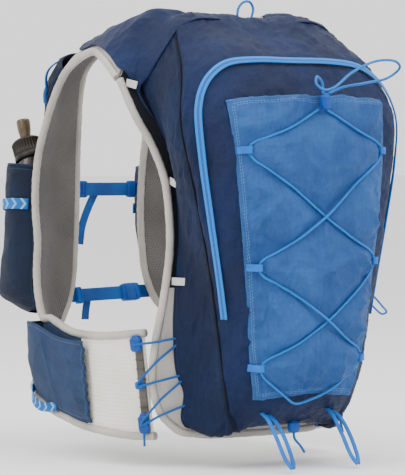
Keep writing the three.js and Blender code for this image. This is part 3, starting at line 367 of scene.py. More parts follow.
# %% Values in a material
class Value:
    """A socket in a material that takes part in sums."""

    def __init__(self, look, socket):
        self.look, self.socket = look, socket

    def math(self, operation, *others, first=None):
        sockets = [self, *others] if first is None else [first, self]
        return self.look.node("ShaderNodeMath", {"operation": operation}, sockets)

    def __add__(self, other):
        return self.math("ADD", other)

    __radd__ = __add__

    def __sub__(self, other):
        return self.math("SUBTRACT", other)

    def __rsub__(self, other):
        return self.math("SUBTRACT", first=other)

    def __mul__(self, other):
        return self.math("MULTIPLY", other)

    __rmul__ = __mul__

    def __truediv__(self, other):
        return self.math("DIVIDE", other)

    def __pow__(self, other):
        return self.math("POWER", other)

    def sine(self):
        return self.math("SINE")

    def size(self):
        return self.math("ABSOLUTE")

    def fraction(self):
        return self.math("FRACT")

    def below(self, limit):
        return self.math("LESS_THAN", limit)

    def smooth(self, low, high):
        """0 below low, 1 above high, and smooth between."""
        return self.look.node(
            "ShaderNodeMapRange", {"interpolation_type": "SMOOTHSTEP"},
            {"Value": self, "From Min": low, "From Max": high, "To Min": 0.0, "To Max": 1.0})


class Look:
    """A material whose uniform numbers sit on the shader's own sockets."""

    def __init__(self, name, **uniform):
        self.material = bpy.data.materials.new(name)
        self.material.use_nodes = True
        self.tree = self.material.node_tree
        self.shader = self.tree.nodes["Principled BSDF"]
        for socket, value in uniform.items():
            self.shader.inputs[socket.replace("_", " ")].default_value = value
        looks[name] = self.material

    def node(self, kind, settings, inputs, output=0):
        made = self.tree.nodes.new(kind)
        for setting, value in settings.items():
            setattr(made, setting, value)
        pairs = inputs.items() if isinstance(inputs, dict) else enumerate(inputs)
        for key, value in pairs:
            if isinstance(value, Value):
                self.tree.links.new(value.socket, made.inputs[key])
            else:
                made.inputs[key].default_value = value
        return Value(self, made.outputs[output])

    def attribute(self, name):
        """The three numbers of an attribute of the mesh."""
        vector = self.node("ShaderNodeAttribute", {"attribute_name": name}, {}, "Vector")
        return [self.node("ShaderNodeSeparateXYZ", {}, [vector], k) for k in range(3)]

    def place(self):
        return self.node("ShaderNodeTexCoord", {}, {}, "Object")

    def noise(self, scale, detail=3.0, rough=0.5, vector=None):
        return self.node("ShaderNodeTexNoise", {}, {
            "Vector": vector or self.place(), "Scale": scale, "Detail": detail, "Roughness": rough})

    def stretched(self, x, y, z):
        return self.node("ShaderNodeVectorMath", {"operation": "MULTIPLY"}, [self.place(), (x, y, z)])

    def mix(self, share, a, b):
        """Colour b over colour a by a share."""
        return self.node("ShaderNodeMix", {"data_type": "RGBA"}, {0: share, 6: a, 7: b}, 2)

    def colour(self, value):
        self.tree.links.new(value.socket, self.shader.inputs["Base Color"])

    def roughness(self, value):
        self.tree.links.new(value.socket, self.shader.inputs["Roughness"])

    def bump(self, height, distance):
        bent = self.node("ShaderNodeBump", {}, {"Height": height, "Distance": distance, "Strength": 1.0})
        self.tree.links.new(bent.socket, self.shader.inputs["Normal"])


def linear(r, g, b):
    """A colour in display values read off the photograph, for the shader."""
    def one(c):
        c /= 255
        return c / 12.92 if c <= 0.04045 else ((c + 0.055) / 1.055) ** 2.4
    return (one(r), one(g), one(b), 1.0)


TURN = 2 * math.pi
print("shader maths ready")

# %% [markdown]
# ## Finishes
# The pack is a thin coated nylon with a fine check in its weave and creases that catch light.
# The pockets and wings are stretch knits, the harness is spacer mesh under a soft face, and the
# edges are bound in a soft ribbed tape. Stitches follow the hems. Each finish is one short sum:
# a weave from sines, colour that drifts a little, wear where it rubs, and a bump.

# %% Woven nylon
STITCH_LENGTH, STITCH_SHARE = 0.0032, 0.68
STITCH_HALF, STITCH_FADE = 0.0003, 0.0007
WEAVE, CHECK, CHECK_SHARE = 0.0009, 0.006, 0.09
WORN_EDGE = 0.0015


def wave(distance, step):
    """A sine along a distance on the cloth, one turn each step."""
    return (distance * (TURN / step)).sine()


def stitches(look, inset):
    """A row of stitches at a distance from the border, from the hem attribute."""
    off, run, _ = look.attribute("hem")
    row = 1 - (off - inset).size().smooth(STITCH_HALF, STITCH_FADE)
    return row * (run / STITCH_LENGTH).fraction().below(STITCH_SHARE)


def nylon(name, base, shade, thread, stitched, crease, rough):
    """Coated nylon: a fine weave with a check, creases, stitched rows and worn borders."""
    look = Look(name, Specular_IOR_Level=0.2)
    s, t, _ = look.attribute("cloth")
    weave = wave(s, WEAVE) * wave(t, WEAVE)
    upright, level = ((way / CHECK).fraction().below(CHECK_SHARE) for way in (s, t))
    check = upright.math("MAXIMUM", level)
    drift = look.noise(14.0, 4.0)
    folds = look.noise(55.0, 3.0, 0.6, look.stretched(1, 1, 0.6)) * 0.7 + look.noise(150.0, 2.0) * 0.3
    sewn = stitches(look, stitched[0])
    for inset in stitched[1:]:
        sewn = sewn.math("MAXIMUM", stitches(look, inset))
    worn = look.attribute("hem")[0].smooth(WORN_EDGE, 0.0)
    body = look.mix(drift.smooth(0.3, 0.75), shade, base)
    body = look.mix(check * 0.22, body, shade)
    body = look.mix(worn * 0.25, body, thread)
    look.colour(look.mix(sewn * 0.8, body, thread))
    look.roughness(rough + drift * 0.16 - worn * 0.08)
    look.bump(weave * 0.05 + check * 0.08 + folds * crease + sewn * 0.35, 0.0022)
    return look


# Base, shade and thread colours, insets of the stitched rows, depth of the creases, roughness
nylon("navy_nylon", linear(9, 31, 72), linear(5, 21, 55), linear(30, 52, 98), (0.0035,), 2.4, 0.42)
nylon("navy_side", linear(14, 32, 66), linear(8, 22, 50), linear(32, 50, 88), (0.004,), 2.6, 0.46)
nylon("steel_nylon", linear(42, 90, 152), linear(28, 70, 128), linear(82, 130, 190),
      (0.0045, 0.0065), 2.6, 0.42)
# The near-black lining also serves as painted shade on the back panel's face, in the gap beside the pack.
nylon("navy_lining_and_gap_shade", linear(11, 15, 26), linear(7, 10, 19), linear(18, 24, 40), (0.006,), 0.3, 0.6)
print("nylon:", list(looks))

# %% [markdown]
# Knits are rows of small loops. Spacer mesh is rows of round holes over foam, and every second
# row is shifted by half a hole.

# %% Knits, mesh and bindings
KNIT_STITCHES, KNIT_RIB, LOOP_BEND = 0.004, 0.004, 1.4
ROW_HEIGHT = 0.866
HOLE_EDGE, HOLE_FADE = 0.2, 0.34


def knit(name, base, shade, thread, wale, crease, ribs=0.0):
    """Stretch knit: rows of small loops, ribs that the gathers press, and one row of stitches."""
    look = Look(name, Sheen_Weight=0.05, Sheen_Roughness=0.5, Specular_IOR_Level=0.22)
    s, t, _ = look.attribute("cloth")
    bent_row = (t * (TURN / wale) + wave(s, wale) * LOOP_BEND).sine()
    loops = (wave(s, wale) + bent_row) * 0.5
    drift = look.noise(22.0, 4.0)
    folds = look.noise(60.0, 3.0, 0.55, look.stretched(1, 1, 1.4))
    pressed = wave(s, KNIT_RIB) * ribs
    sewn = stitches(look, KNIT_STITCHES)
    body = look.mix(drift.smooth(0.3, 0.72), shade, base)
    body = look.mix((0.5 - loops * 0.5) * 0.25, body, shade)
    look.colour(look.mix(sewn * 0.7, body, thread))
    look.roughness(drift * 0.12 + 0.72)
    look.bump(loops * 0.1 + folds * crease + pressed + sewn * 0.3, 0.002)
    return look


knit("steel_stretch", linear(32, 58, 94), linear(20, 42, 74), linear(70, 100, 144), 0.0012, 1.0)
knit("navy_stretch", linear(13, 31, 56), linear(8, 20, 40), linear(36, 56, 90), 0.0012, 1.0)
knit("white_stretch", linear(240, 236, 226), linear(228, 223, 212), linear(240, 239, 235),
     0.0014, 0.22, 0.08)
knit("pale_face", linear(192, 188, 181), linear(172, 168, 161), linear(210, 206, 200), 0.0013, 0.25)
knit("binding", linear(188, 183, 175), linear(164, 160, 152), linear(206, 202, 195), 0.0016, 0.5)


def spacer_mesh(name, base, hole, cell=0.0034, quilt=0.0):
    """Open mesh over foam: rows of round holes, staggered, and quilted rows where it is sewn."""
    look = Look(name, Sheen_Weight=0.15, Specular_IOR_Level=0.25, Roughness=0.85)
    s, t, _ = look.attribute("cloth")
    row = t / (cell * ROW_HEIGHT)
    shift = (row * 0.5).fraction().below(0.5) * 0.5
    x = (s / cell + shift).fraction() - 0.5
    y = row.fraction() - 0.5
    far = (x * x + y * y) ** 0.5
    holes = 1 - far.smooth(HOLE_EDGE, HOLE_FADE)
    drift = look.noise(18.0, 4.0)
    body = look.mix(drift.smooth(0.3, 0.7) * 0.5, base, hole)
    off, _, sides = look.attribute("hem")
    height = look.noise(70.0, 3.0) * 0.4 - holes * 0.3
    if quilt:
        line = ((sides / quilt).fraction() - 0.5).size().smooth(0.06, 0.0)
        height = height - line * 1.4
        body = look.mix(line * 0.4, body, hole)
    look.colour(look.mix(holes * 0.62, body, hole))
    look.bump(height, 0.0018)
    return look


spacer_mesh("dark_mesh", linear(104, 102, 99), linear(66, 64, 62))
spacer_mesh("back_mesh", linear(150, 148, 144), linear(88, 86, 84), 0.0048, 0.03)
print("knits and mesh:", len(looks))

# %% [markdown]
# Webbing is ribbed across, a cord's sheath is braided from crossing strands, and moulded plastic
# has a fine grain. The zipper's teeth and tape lines come from the distance off its middle.

# %% Webbing, cords and plastic
RIB, HERRINGBONE, CHEVRON = 0.0013, 0.0022, 0.011
STRAND, STRAND_LEAN = 0.0022, 0.9
COIL_STEP, TAPE_LINE = 0.0016, 0.0012


def webbing_look(name, base, shade, mark=None):
    """Flat woven tape: fine ribs across it, a herringbone, and plain chevrons where it has them."""
    look = Look(name, Specular_IOR_Level=0.32)
    _, t, x = look.attribute("cloth")
    rib = wave(t, RIB)
    herring = wave(x.size() + t, HERRINGBONE)
    drift = look.noise(40.0, 3.0)
    body = look.mix(drift.smooth(0.3, 0.7), shade, base)
    body = look.mix((0.5 - rib * 0.5) * 0.3, body, shade)
    if mark:
        chevron = ((t + x.size() * 0.8) / CHEVRON).fraction()
        body = look.mix((chevron - 0.5).size().smooth(0.16, 0.1), body, mark)
    look.colour(body)
    look.roughness(drift * 0.14 + 0.5)
    look.bump(rib * 0.25 + herring * 0.12, 0.0006)
    return look


webbing_look("blue_webbing", linear(4, 92, 172), linear(2, 66, 138))
webbing_look("pale_blue_webbing", linear(2, 116, 206), linear(0, 92, 180))
webbing_look("chevron_webbing", linear(8, 106, 184), linear(4, 82, 156), linear(110, 176, 222))
webbing_look("grey_webbing", linear(98, 94, 87), linear(76, 72, 66))
webbing_look("pale_webbing", linear(206, 204, 200), linear(188, 186, 182))


def cord_look(name, base, fleck):
    """Braided sheath: strands that cross each other round the cord, with lighter flecks."""
    look = Look(name, Specular_IOR_Level=0.35)
    s, t, _ = look.attribute("cloth")
    one, other = wave(t + s * STRAND_LEAN, STRAND), wave(t - s * STRAND_LEAN, STRAND)
    braid = one.math("MAXIMUM", other)
    drift = look.noise(60.0, 3.0)
    body = look.mix((0.5 - braid * 0.5) * 0.5, base, fleck)
    look.colour(look.mix(drift.smooth(0.45, 0.75) * 0.35, body, fleck))
    look.roughness(drift * 0.15 + 0.42)
    look.bump(braid, 0.0005)
    return look


cord_look("cyan_cord", linear(0, 124, 214), linear(0, 92, 184))
cord_look("deep_cord", linear(4, 96, 176), linear(2, 66, 134))


def plastic(name, base, shade, rough, grain=260.0, **uniform):
    """Moulded plastic: a fine grain, colour that drifts a little and a soft gloss."""
    look = Look(name, Specular_IOR_Level=0.25, **uniform)
    drift = look.noise(35.0, 4.0)
    fine = look.noise(grain, 2.0)
    look.colour(look.mix(drift.smooth(0.3, 0.7), shade, base))
    look.roughness(drift * 0.12 + rough + 0.06)
    look.bump(fine, 0.00025)
    return look


plastic("blue_plastic", linear(0, 84, 168), linear(0, 60, 136), 0.32)
plastic("cyan_plastic", linear(0, 100, 188), linear(0, 76, 156), 0.3)
plastic("brown_plastic", linear(36, 28, 19), linear(22, 17, 12), 0.28)
plastic("amber_rubber", linear(96, 78, 52), linear(64, 50, 33), 0.22, 120.0, Coat_Weight=0.4)
plastic("smoke_film", linear(58, 50, 40), linear(40, 34, 27), 0.18, 40.0, Coat_Weight=0.5)


def zip_look(name, base, shade):
    """Zipper tape with a coil down its middle, read from the distance off the centre line."""
    look = Look(name, Specular_IOR_Level=0.3)
    _, t, x = look.attribute("cloth")
    middle = x.size().smooth(0.0013, 0.0009)
    teeth = wave(t, COIL_STEP) * middle
    lines = wave(x, TAPE_LINE) * (1 - middle)
    body = look.mix(middle * 0.55, base, shade)
    look.colour(look.mix((teeth * 0.5 + 0.5) * middle * 0.5, body, shade))
    look.roughness(look.noise(50.0) * 0.12 + 0.36)
    look.bump(teeth * 0.6 + lines * 0.12 + middle * 0.8, 0.0008)
    return look


zip_look("cyan_zip", linear(0, 116, 206), linear(0, 78, 160))
print("finishes:", len(looks))

# %% [markdown]
# ## Harness, back panel and wings
# The straps and chest panels are one padded piece on each side, five millimetres thick. Their
# rows run from the shoulder seam to the bottom of the chest, as neck edge, crest and arm edge,
# in shares of the vest's main sizes. Padding is thickest in the middle and thins to the rims.

# %% Rows of the padded parts
PADDING = 0.005
STRETCH = 0.0024
FABRIC = 0.0014
SEAT = 0.0009
SEAM = 0.0012
CLEARANCE = 0.0004
SIDES = (("left", 1), ("right", -1))
# Shares across, in depth and down, for the neck edge, the crest and the arm edge
HARNESS = [
    [0.36, 0.42, 0.012, 0.67, 0.41, 0.012, 0.975, 0.43, 0.15],
    [0.4, 0.1, 0.02, 0.68, 0.08, 0.024, 0.945, 0.12, 0.105],
    [0.42, -0.17, 0.036, 0.66, -0.17, 0.045, 0.84, -0.15, 0.085],
    [0.43, -0.42, 0.056, 0.65, -0.41, 0.07, 0.76, -0.37, 0.093],
    [0.41, -0.67, 0.088, 0.61, -0.65, 0.1, 0.73, -0.57, 0.122],
    [0.385, -0.85, 0.14, 0.57, -0.82, 0.15, 0.71, -0.71, 0.17],
    [0.36, -0.925, 0.235, 0.55, -0.905, 0.24, 0.7, -0.815, 0.235],
    [0.345, -0.965, 0.34, 0.555, -0.945, 0.34, 0.745, -0.87, 0.335],
    [0.335, -0.985, 0.455, 0.555, -0.96, 0.45, 0.775, -0.87, 0.44],
    [0.35, -0.985, 0.57, 0.57, -0.95, 0.565, 0.77, -0.85, 0.555],
    [0.4, -0.96, 0.675, 0.64, -0.9, 0.665, 0.83, -0.79, 0.655],
    [0.53, -0.905, 0.745, 0.71, -0.83, 0.74, 0.86, -0.69, 0.73],
]
# Shares across, in depth and down, for the top edge and the hem, from the chest to the back
WING = [
    [0.55, -0.9, 0.757, 0.757, -0.915, 0.905],
    [0.705, -0.83, 0.75, 0.835, -0.77, 0.93],
    [0.835, -0.69, 0.737, 0.88, -0.57, 0.952],
    [0.895, -0.49, 0.752, 0.91, -0.37, 0.965],
    [0.94, -0.29, 0.767, 0.945, -0.19, 0.974],
    [0.98, 0.0, 0.77, 0.96, 0.04, 0.98],
    [0.965, 0.39, 0.765, 0.925, 0.46, 0.985],
    [0.9, 0.72, 0.755, 0.845, 0.78, 0.985],
]
# Depth and down in the middle, then across, depth and down for two columns and the side edge
BACK = [
    [0.46, 0.03, 0.56, 0.455, 0.014, 0.76, 0.455, 0.03, 0.98, 0.46, 0.155],
    [0.7, 0.125, 0.54, 0.68, 0.13, 0.74, 0.69, 0.165, 0.915, 0.68, 0.255],
    [0.84, 0.25, 0.47, 0.83, 0.26, 0.65, 0.84, 0.285, 0.815, 0.83, 0.34],
    [0.91, 0.4, 0.43, 0.9, 0.405, 0.6, 0.9, 0.415, 0.757, 0.88, 0.443],
    [0.94, 0.557, 0.42, 0.93, 0.557, 0.58, 0.92, 0.557, 0.743, 0.89, 0.557],
    [0.96, 0.705, 0.44, 0.95, 0.705, 0.62, 0.93, 0.705, 0.8, 0.86, 0.705],
    [0.97, 0.83, 0.47, 0.955, 0.83, 0.66, 0.92, 0.83, 0.85, 0.81, 0.83],
    [0.98, 0.932, 0.46, 0.96, 0.932, 0.63, 0.93, 0.93, 0.81, 0.83, 0.927],
    [0.98, 0.985, 0.39, 0.97, 0.985, 0.53, 0.95, 0.983, 0.66, 0.9, 0.975],
]
left_harness = Patch([[place(*r[0:3]), place(*r[3:6]), place(*r[6:9])] for r in HARNESS])


def mirror_row(half, middle):
    return half + [middle] + [[-x, y, z] for x, y, z in half[::-1]]


back_rows = []
for number, r in enumerate(BACK):
    half = [place(*r[8:11]), place(*r[5:8]), place(*r[2:5])]
    if number == 0:
        half = [(left_harness.at(u, 0) + [0, SEAM, 0]).tolist() for u in (1, 0.6, 0.2)]
    back_rows.append(mirror_row(half, place(0, r[0], r[1])))
back_panel = Patch(back_rows)

wing_rows = []
for number, r in enumerate(WING):
    top = place(*r[0:3])
    if number < 3:
        top = (left_harness.at(number / 2, 1) - [0, 0, SEAM]).tolist()
    wing_rows.append([top, place(*r[3:6])])
left_wing = Patch(wing_rows)
harnesses = {"left": left_harness, "right": left_harness.mirrored()}
wings = {"left": left_wing, "right": left_wing.mirrored()}
print("harness is", round(float(lengths(left_harness.at(0.5, np.linspace(0, 1, 50)), 0)[-1]), 3), "m long")

# %% [markdown]
# ### Creases
# Thin cloth creases in short soft ridges that lie in a few directions. Sums of bent waves with
# a sharp crest look like that, and a fixed seed gives the same creases every time.

# %% Creases and padded panels
CREASE_WAVES, CREASE_BEND, CREASE_SLOW, CREASE_LEVEL = 6, 1.6, 0.55, 3
# Height of the creases in metres, the distance between them and the seed of their draw
CREASES = {
    "panel_face": (0.05, 0.012, 5),
    "panel_lining": (0.0002, 0.02, 9),
    "pack_broad": (0.006, 0.02, 3),
    "pack_fine": (0.0022, 0.008, 4),
    "stash_broad": (0.0075, 0.019, 21),
    "stash_fine": (0.0026, 0.008, 22),
    "yoke": (0.003, 0.018, 31),
    "chest_pocket": (0.0022, 0.014, 41),
    "lower_pocket": (0.002, 0.02, 42),
    "bottle_pocket": (0.0022, 0.016, 51),
}


def creases(kind, s, t, sharp=2.5):
    """Height of crossing creases on a sheet measured in metres."""
    height, scale, seed = CREASES[kind]
    chance = np.random.default_rng(seed)
    total = np.zeros(np.broadcast(s, t).shape)
    for _ in range(CREASE_WAVES):
        angle, pace = chance.uniform(0, np.pi), chance.uniform(0.7, 1.5) / scale
        along = s * np.cos(angle) + t * np.sin(angle)
        across = t * np.cos(angle) - s * np.sin(angle)
        bend = CREASE_BEND * np.sin(across * pace * CREASE_SLOW + chance.uniform(0, TURN))
        total += (1 - np.abs(np.sin(along * pace + bend + chance.uniform(0, TURN)))) ** sharp
    return height * (total / CREASE_LEVEL)


def ground(points):
    """Distances across and along a grid of points."""
    return lengths(points, 1), lengths(points, 0)


PUFF_RIM, PUFF_CROWN, LINING_RIM = 0.82, 0.18, 0.0003


def crown(u, v, rim=0.12):
    """0 at the border of a sheet, 1 inside, with a soft shoulder."""
    near = np.minimum(np.minimum(u, 1 - u), np.minimum(v, 1 - v) * 2.5)
    return np.clip(near / rim, 0, 1) ** 0.5


def patched(piece, steps, where, look):
    """Faces of a sheet's outer side that have another look: where is a test of u and v."""
    across, along = steps
    piece.data.materials.append(looks[look])
    which = np.zeros(len(piece.data.polygons), int)
    piece.data.polygons.foreach_get("material_index", which)
    u, v = np.meshgrid((np.arange(across) + 0.5) / across, (np.arange(along) + 0.5) / along)
    which[: u.size][where(u, v).ravel()] = 3
    piece.data.polygons.foreach_set("material_index", which)
    return piece


def padded_panel(name, patch, steps, look, lining):
    """A foam panel: crowned on its outer face, nearly flat on its lining."""
    u, v = grid(*steps)
    s, t = ground(patch.at(u, v))
    puff = PUFF_RIM + PUFF_CROWN * crown(u, v) + creases("panel_face", s, t)
    outer = patch.lift(u, v, PADDING * puff)
    inner = patch.lift(u, v, creases("panel_lining", s, t) + LINING_RIM * (1 - crown(u, v)))
    piece = sheet(f"{name}_padded", outer, inner, look, lining, look)
    return stands_for(piece, name)


HARNESS_STEPS = (36, 130)
for word, patch in harnesses.items():
    padded_panel(f"harness_{word}", patch, HARNESS_STEPS, "pale_face", "dark_mesh")
BACK_STEPS = (90, 110)
GAP_SHADE_BOTTOM = 0.57
# The back panel's outer face is the near-black lining in its upper part: painted shade for the dark gap
# between the panel and the pack. Lower down it is the pale face.
back_piece = padded_panel("back_panel", back_panel, BACK_STEPS, "navy_lining_and_gap_shade", "back_mesh")
patched(back_piece, BACK_STEPS, lambda u, v: v > GAP_SHADE_BOTTOM, "pale_face")
WING_STEPS = (30, 110)
UNDER_POCKET = 0.64
RIPPLE_HEIGHT, RIPPLE_STEP = 0.0004, 0.013
for word, patch in wings.items():
    u, v = grid(*WING_STEPS)
    s, t = ground(patch.at(u, v))
    ripple = RIPPLE_HEIGHT * np.sin(t * TURN / RIPPLE_STEP) * np.sin(np.pi * u)
    outer = patch.lift(u, v, STRETCH + ripple)
    wing_piece = sheet(f"side_wing_{word}_cloth", outer, patch.lift(u, v, ripple), "white_stretch")
    patched(wing_piece, WING_STEPS, lambda u, v: v < UNDER_POCKET, "steel_stretch")
    stands_for(wing_piece, f"side_wing_{word}")
    cut_cloth(wing_piece)

# %% [markdown]
# ### Rolled bindings
# The armholes, the fronts, the neck and the hems end in a fat roll of ribbed tape. A roll is a
# round section carried along a line that stands off the panel's border by its own radius. The
# tape is turned over the edge under tension, so the roll swells and pinches a little.

# %% Rolled bindings
BINDING_RADIUS = 0.0042
BINDING_OFF = BINDING_RADIUS * 0.8
EDGE_START = 0.002
NAPE_HALF = 0.1
INWARD = 0.04
PINCH, PINCH_SLOW, PINCH_QUICK = 0.03, 0.021, 0.0083


def border_line(patch, border, thickness):
    """Centres of a roll beside [u, v] places on a patch's border."""
    found = []
    for u, v in border:
        edge, flat = patch.lift(u, v, thickness / 2), patch.at(u, v)
        away = np.zeros(3)
        if u in (0, 1):
            away += unit(flat - patch.at(mix(INWARD, 1 - INWARD, u), v))
        if v in (0, 1):
            away += unit(flat - patch.at(u, mix(INWARD, 1 - INWARD, v)))
        found.append(edge.reshape(3) + unit(away.reshape(3)) * BINDING_OFF)
    return found


def roll(name, points, count):
    """A rolled binding through points, which swells and pinches a little."""
    line = resample(points, count)
    run = lengths(line, 0)
    swell = 1 + PINCH * np.sin(run * TURN / PINCH_SLOW) + PINCH * np.sin(run * TURN / PINCH_QUICK + 1)
    piece = swept(f"{name}_roll", line, circle(BINDING_RADIUS, 16), "binding", None, swell)
    return stands_for(piece, name)


def shares(count, low=0.0):
    return [max(k / count, low) for k in range(count + 1)]


down = [(0, v) for v in shares(10, EDGE_START)]
hem = [(u, 1) for u in shares(10)[1:-1]]
back_border = down + hem + [(1, v) for _, v in down[::-1]]
roll("back_panel_binding", border_line(back_panel, back_border, PADDING), 420)
for word in harnesses:
    arm = [(1, v) for v in shares(16, EDGE_START)]
    armpit = [(0, v) for v in shares(14)[5:]]
    line = border_line(harnesses[word], arm, PADDING) + border_line(wings[word], armpit, STRETCH)
    roll(f"armhole_binding_{word}", line, 420)


def front_line(word):
    neck = [(0, v) for v in shares(16, EDGE_START)]
    bottom = [(0.5, 0)] + [(1, v) for v in shares(14)]
    return border_line(harnesses[word], neck, PADDING) + border_line(wings[word], bottom, STRETCH)


nape = [(mix(0.5 - NAPE_HALF, 0.5 + NAPE_HALF, k / 2), 0) for k in range(3)]
nape = border_line(back_panel, nape, PADDING)
front = roll("front_binding", front_line("left")[::-1] + nape + front_line("right"), 900)
print("bindings:", len(front.data.polygons), "faces on the longest")

# %% [markdown]
# ## Pack
# The pack is one bag with its mouth against the back panel. Its sides are a darker gusset that
# meets the face at a corded seam. The face hangs from the top, so it creases there and along
# the seam, and it bags a little over the load.

# %% Pack surface
# Seat across and along the back panel; across, out and down for the side and for the seam; out
# and down for the middle
PACK = [
    [0.86, 0.07, 0.8, -0.25, 0.08, 0.6, -0.22, 0.014, -0.2, 0.012],
    [0.86, 0.12, 0.86, 0.05, 0.138, 0.66, 0.1, 0.058, 0.12, 0.055],
    [0.87, 0.18, 0.93, 0.27, 0.205, 0.78, 0.52, 0.135, 0.58, 0.12],
    [0.88, 0.26, 0.93, 0.35, 0.3, 0.88, 0.73, 0.235, 0.87, 0.22],
    [0.9, 0.37, 0.86, 0.36, 0.39, 0.84, 0.8, 0.345, 0.98, 0.34],
    [0.92, 0.47, 0.765, 0.35, 0.51, 0.755, 0.82, 0.48, 1.0, 0.475],
    [0.92, 0.56, 0.7, 0.34, 0.625, 0.67, 0.82, 0.61, 1.01, 0.605],
    [0.86, 0.65, 0.665, 0.34, 0.74, 0.595, 0.8, 0.735, 1.0, 0.73],
    [0.76, 0.76, 0.63, 0.34, 0.85, 0.53, 0.76, 0.845, 0.96, 0.84],
    [0.68, 0.82, 0.6, 0.34, 0.92, 0.47, 0.68, 0.915, 0.86, 0.9],
    [0.8, 0.91, 0.56, 0.3, 0.98, 0.36, 0.46, 0.962, 0.5, 0.95],
]
PACK_SEAT_ACROSS = [0.9, 0.7, 0.4, 0]
PACK_ENDS = (0.03, 0.975)
SPOT_PASSES, SPOT_HALVINGS = 4, 11
SPOT_LIMITS = {"v": (0.05, 0.93), "u": (0.2, 0.8)}


def on_back(across, along):
    return back_panel.lift((1 - across) / 2, along, PADDING + SEAT).reshape(3).tolist()


def from_back(x, out, down):
    return [x * HALF_WIDTH, BACK_DEPTH + out * PACK_DEPTH, -down * VEST_HEIGHT]


def seat_row(along):
    row = [on_back(across, along) for across in PACK_SEAT_ACROSS]
    return mirror_row(row[:3], row[3])


pack_rows = [seat_row(PACK_ENDS[0])]
for r in PACK:
    half = [on_back(*r[0:2]), from_back(*r[2:5]), from_back(*r[5:8])]
    pack_rows.append(mirror_row(half, from_back(0, *r[8:10])))
pack_rows.append(seat_row(PACK_ENDS[1]))
pack = Patch(pack_rows)


def pack_spot(x, down):
    """The u and v of places on the pack, from shares across and down the vest."""
    x, down = np.broadcast_arrays(np.asarray(x, float), np.asarray(down, float))
    u, v = np.full(x.shape, 0.5), np.full(x.shape, 0.5)
    for _ in range(SPOT_PASSES):
        for axis, limits in SPOT_LIMITS.items():
            low, high = (np.full(x.shape, limit) for limit in limits)
            for _ in range(SPOT_HALVINGS):
                middle = (low + high) / 2
                if axis == "v":
                    past = pack.at(u, middle)[..., 2] < -down * VEST_HEIGHT
                else:
                    past = pack.at(middle, v)[..., 0] < x * HALF_WIDTH
                high, low = np.where(past, middle, high), np.where(past, low, middle)
            if axis == "v":
                v = (low + high) / 2
            else:
                u = (low + high) / 2
    return u, v


def on_pack(x, down, height):
    u, v = pack_spot(x, down)
    return pack.lift(u, v, FABRIC + height)


# The corded seam between gusset and face, as u for each v down the pack
SEAM_U = [(0, 0.3), (0.1, 0.27), (0.3, 0.235), (0.5, 0.24), (0.7, 0.25), (0.85, 0.26), (1, 0.3)]


def seam_u(v):
    return np.interp(v, [a for a, _ in SEAM_U], [b for _, b in SEAM_U])


# The zipper's arch on the pack, as u and v; folds die out beside it and at the seam
ZIPPER_WIDTH = 0.008
ZIPPER_HEIGHT = 0.0018
ZIPPER_PROUD = 0.0014
ZIPPER_ARCH = [
    [0.295, 0.648],
    [0.3, 0.54],
    [0.31, 0.43],
    [0.318, 0.375],
    [0.328, 0.325],
    [0.345, 0.285],
    [0.378, 0.26],
    [0.43, 0.252],
    [0.5, 0.25],
]
arch = np.array(ZIPPER_ARCH + [[1 - a, b] for a, b in ZIPPER_ARCH[-2::-1]])
arch = resample(np.column_stack([arch, 0 * arch[:, 0]]), 260)
zipper_line = pack.lift(arch[:, 0], arch[:, 1], FABRIC + SEAT + ZIPPER_HEIGHT / 2 + ZIPPER_PROUD)


def away_from(points, line, reach, least):
    """1 far from a line and least on it, for points of a grid."""
    nearest = np.full(points.shape[:-1], 1.0)
    for spot in line:
        nearest = np.minimum(nearest, np.linalg.norm(points - spot, axis=-1))
    return np.clip(nearest / reach, least, 1)


PACK_STEPS = (150, 150)
FOLD_STRETCH = 0.7
SEAM_BROAD, SEAM_CLOSE, SEAM_HOLD = 0.035, 0.014, 0.85
SLACK_ACROSS, SLACK_DOWN = 0.1, 0.08
ZIPPER_CLEAR, ZIPPER_LEAST = 0.012, 0.1
u, v = grid(*PACK_STEPS)
plain = pack.at(u, v)
s, t = ground(plain)
from_seam = np.minimum(u, 1 - u) - seam_u(v)
near_seam = np.exp(-((from_seam / SEAM_BROAD) ** 2))
at_seam = 1 - SEAM_HOLD * np.exp(-((from_seam / SEAM_CLOSE) ** 2))
slack = np.clip(np.minimum(u, 1 - u) / SLACK_ACROSS, 0, 1) * np.clip(np.minimum(v, 1 - v) / SLACK_DOWN, 0, 1)
zip_clear = away_from(plain, zipper_line, ZIPPER_CLEAR, ZIPPER_LEAST)
fold = creases("pack_broad", s, t * FOLD_STRETCH) * (0.4 + 0.6 * near_seam) + creases("pack_fine", s, t)
outer = pack.lift(u, v, FABRIC + fold * slack * zip_clear * at_seam)
pack_piece = sheet("pack_cloth", outer, plain, "navy_nylon", "navy_lining_and_gap_shade")
patched(pack_piece, PACK_STEPS, lambda u, v: np.minimum(u, 1 - u) < seam_u(v), "navy_side")
stands_for(pack_piece, "pack_body")


PIPING_RADIUS, PIPING_ENDS = 0.0011, (0.06, 0.96)
for word, side in SIDES:
    down = np.linspace(*PIPING_ENDS, 160)
    across = seam_u(down) if side == 1 else 1 - seam_u(down)
    piping = pack.lift(across, down, FABRIC + PIPING_RADIUS)
    trim(swept(f"pack_seam_{word}", piping, circle(PIPING_RADIUS, 8), "navy_lining_and_gap_shade"))
print("pack:", len(pack_piece.data.polygons), "faces")

# %% [markdown]
# ## Zipper
# A zipper is a tape with a coil down its middle. It arches over the pack's face, so its ribbon
# is carried along the pack and kept flat against it by the pack's own normal.

# %% Zipper
over = np.cross(unit(np.gradient(zipper_line, axis=0)), pack.normal(arch[:, 0], arch[:, 1]))
half = ZIPPER_WIDTH / 2
coil = [[half, -0.0006], [half, 0.0002], [0.0022, 0.0004], [0.0015, 0.0009], [0.0008, 0.0013]]
coil = [[-across, out] for across, out in coil] + coil[::-1]
stands_for(swept("zipper_tape", zipper_line, coil, "cyan_zip", over), "main_zipper")
STOP_SIZE = (0.0085, 0.003, 0.004)
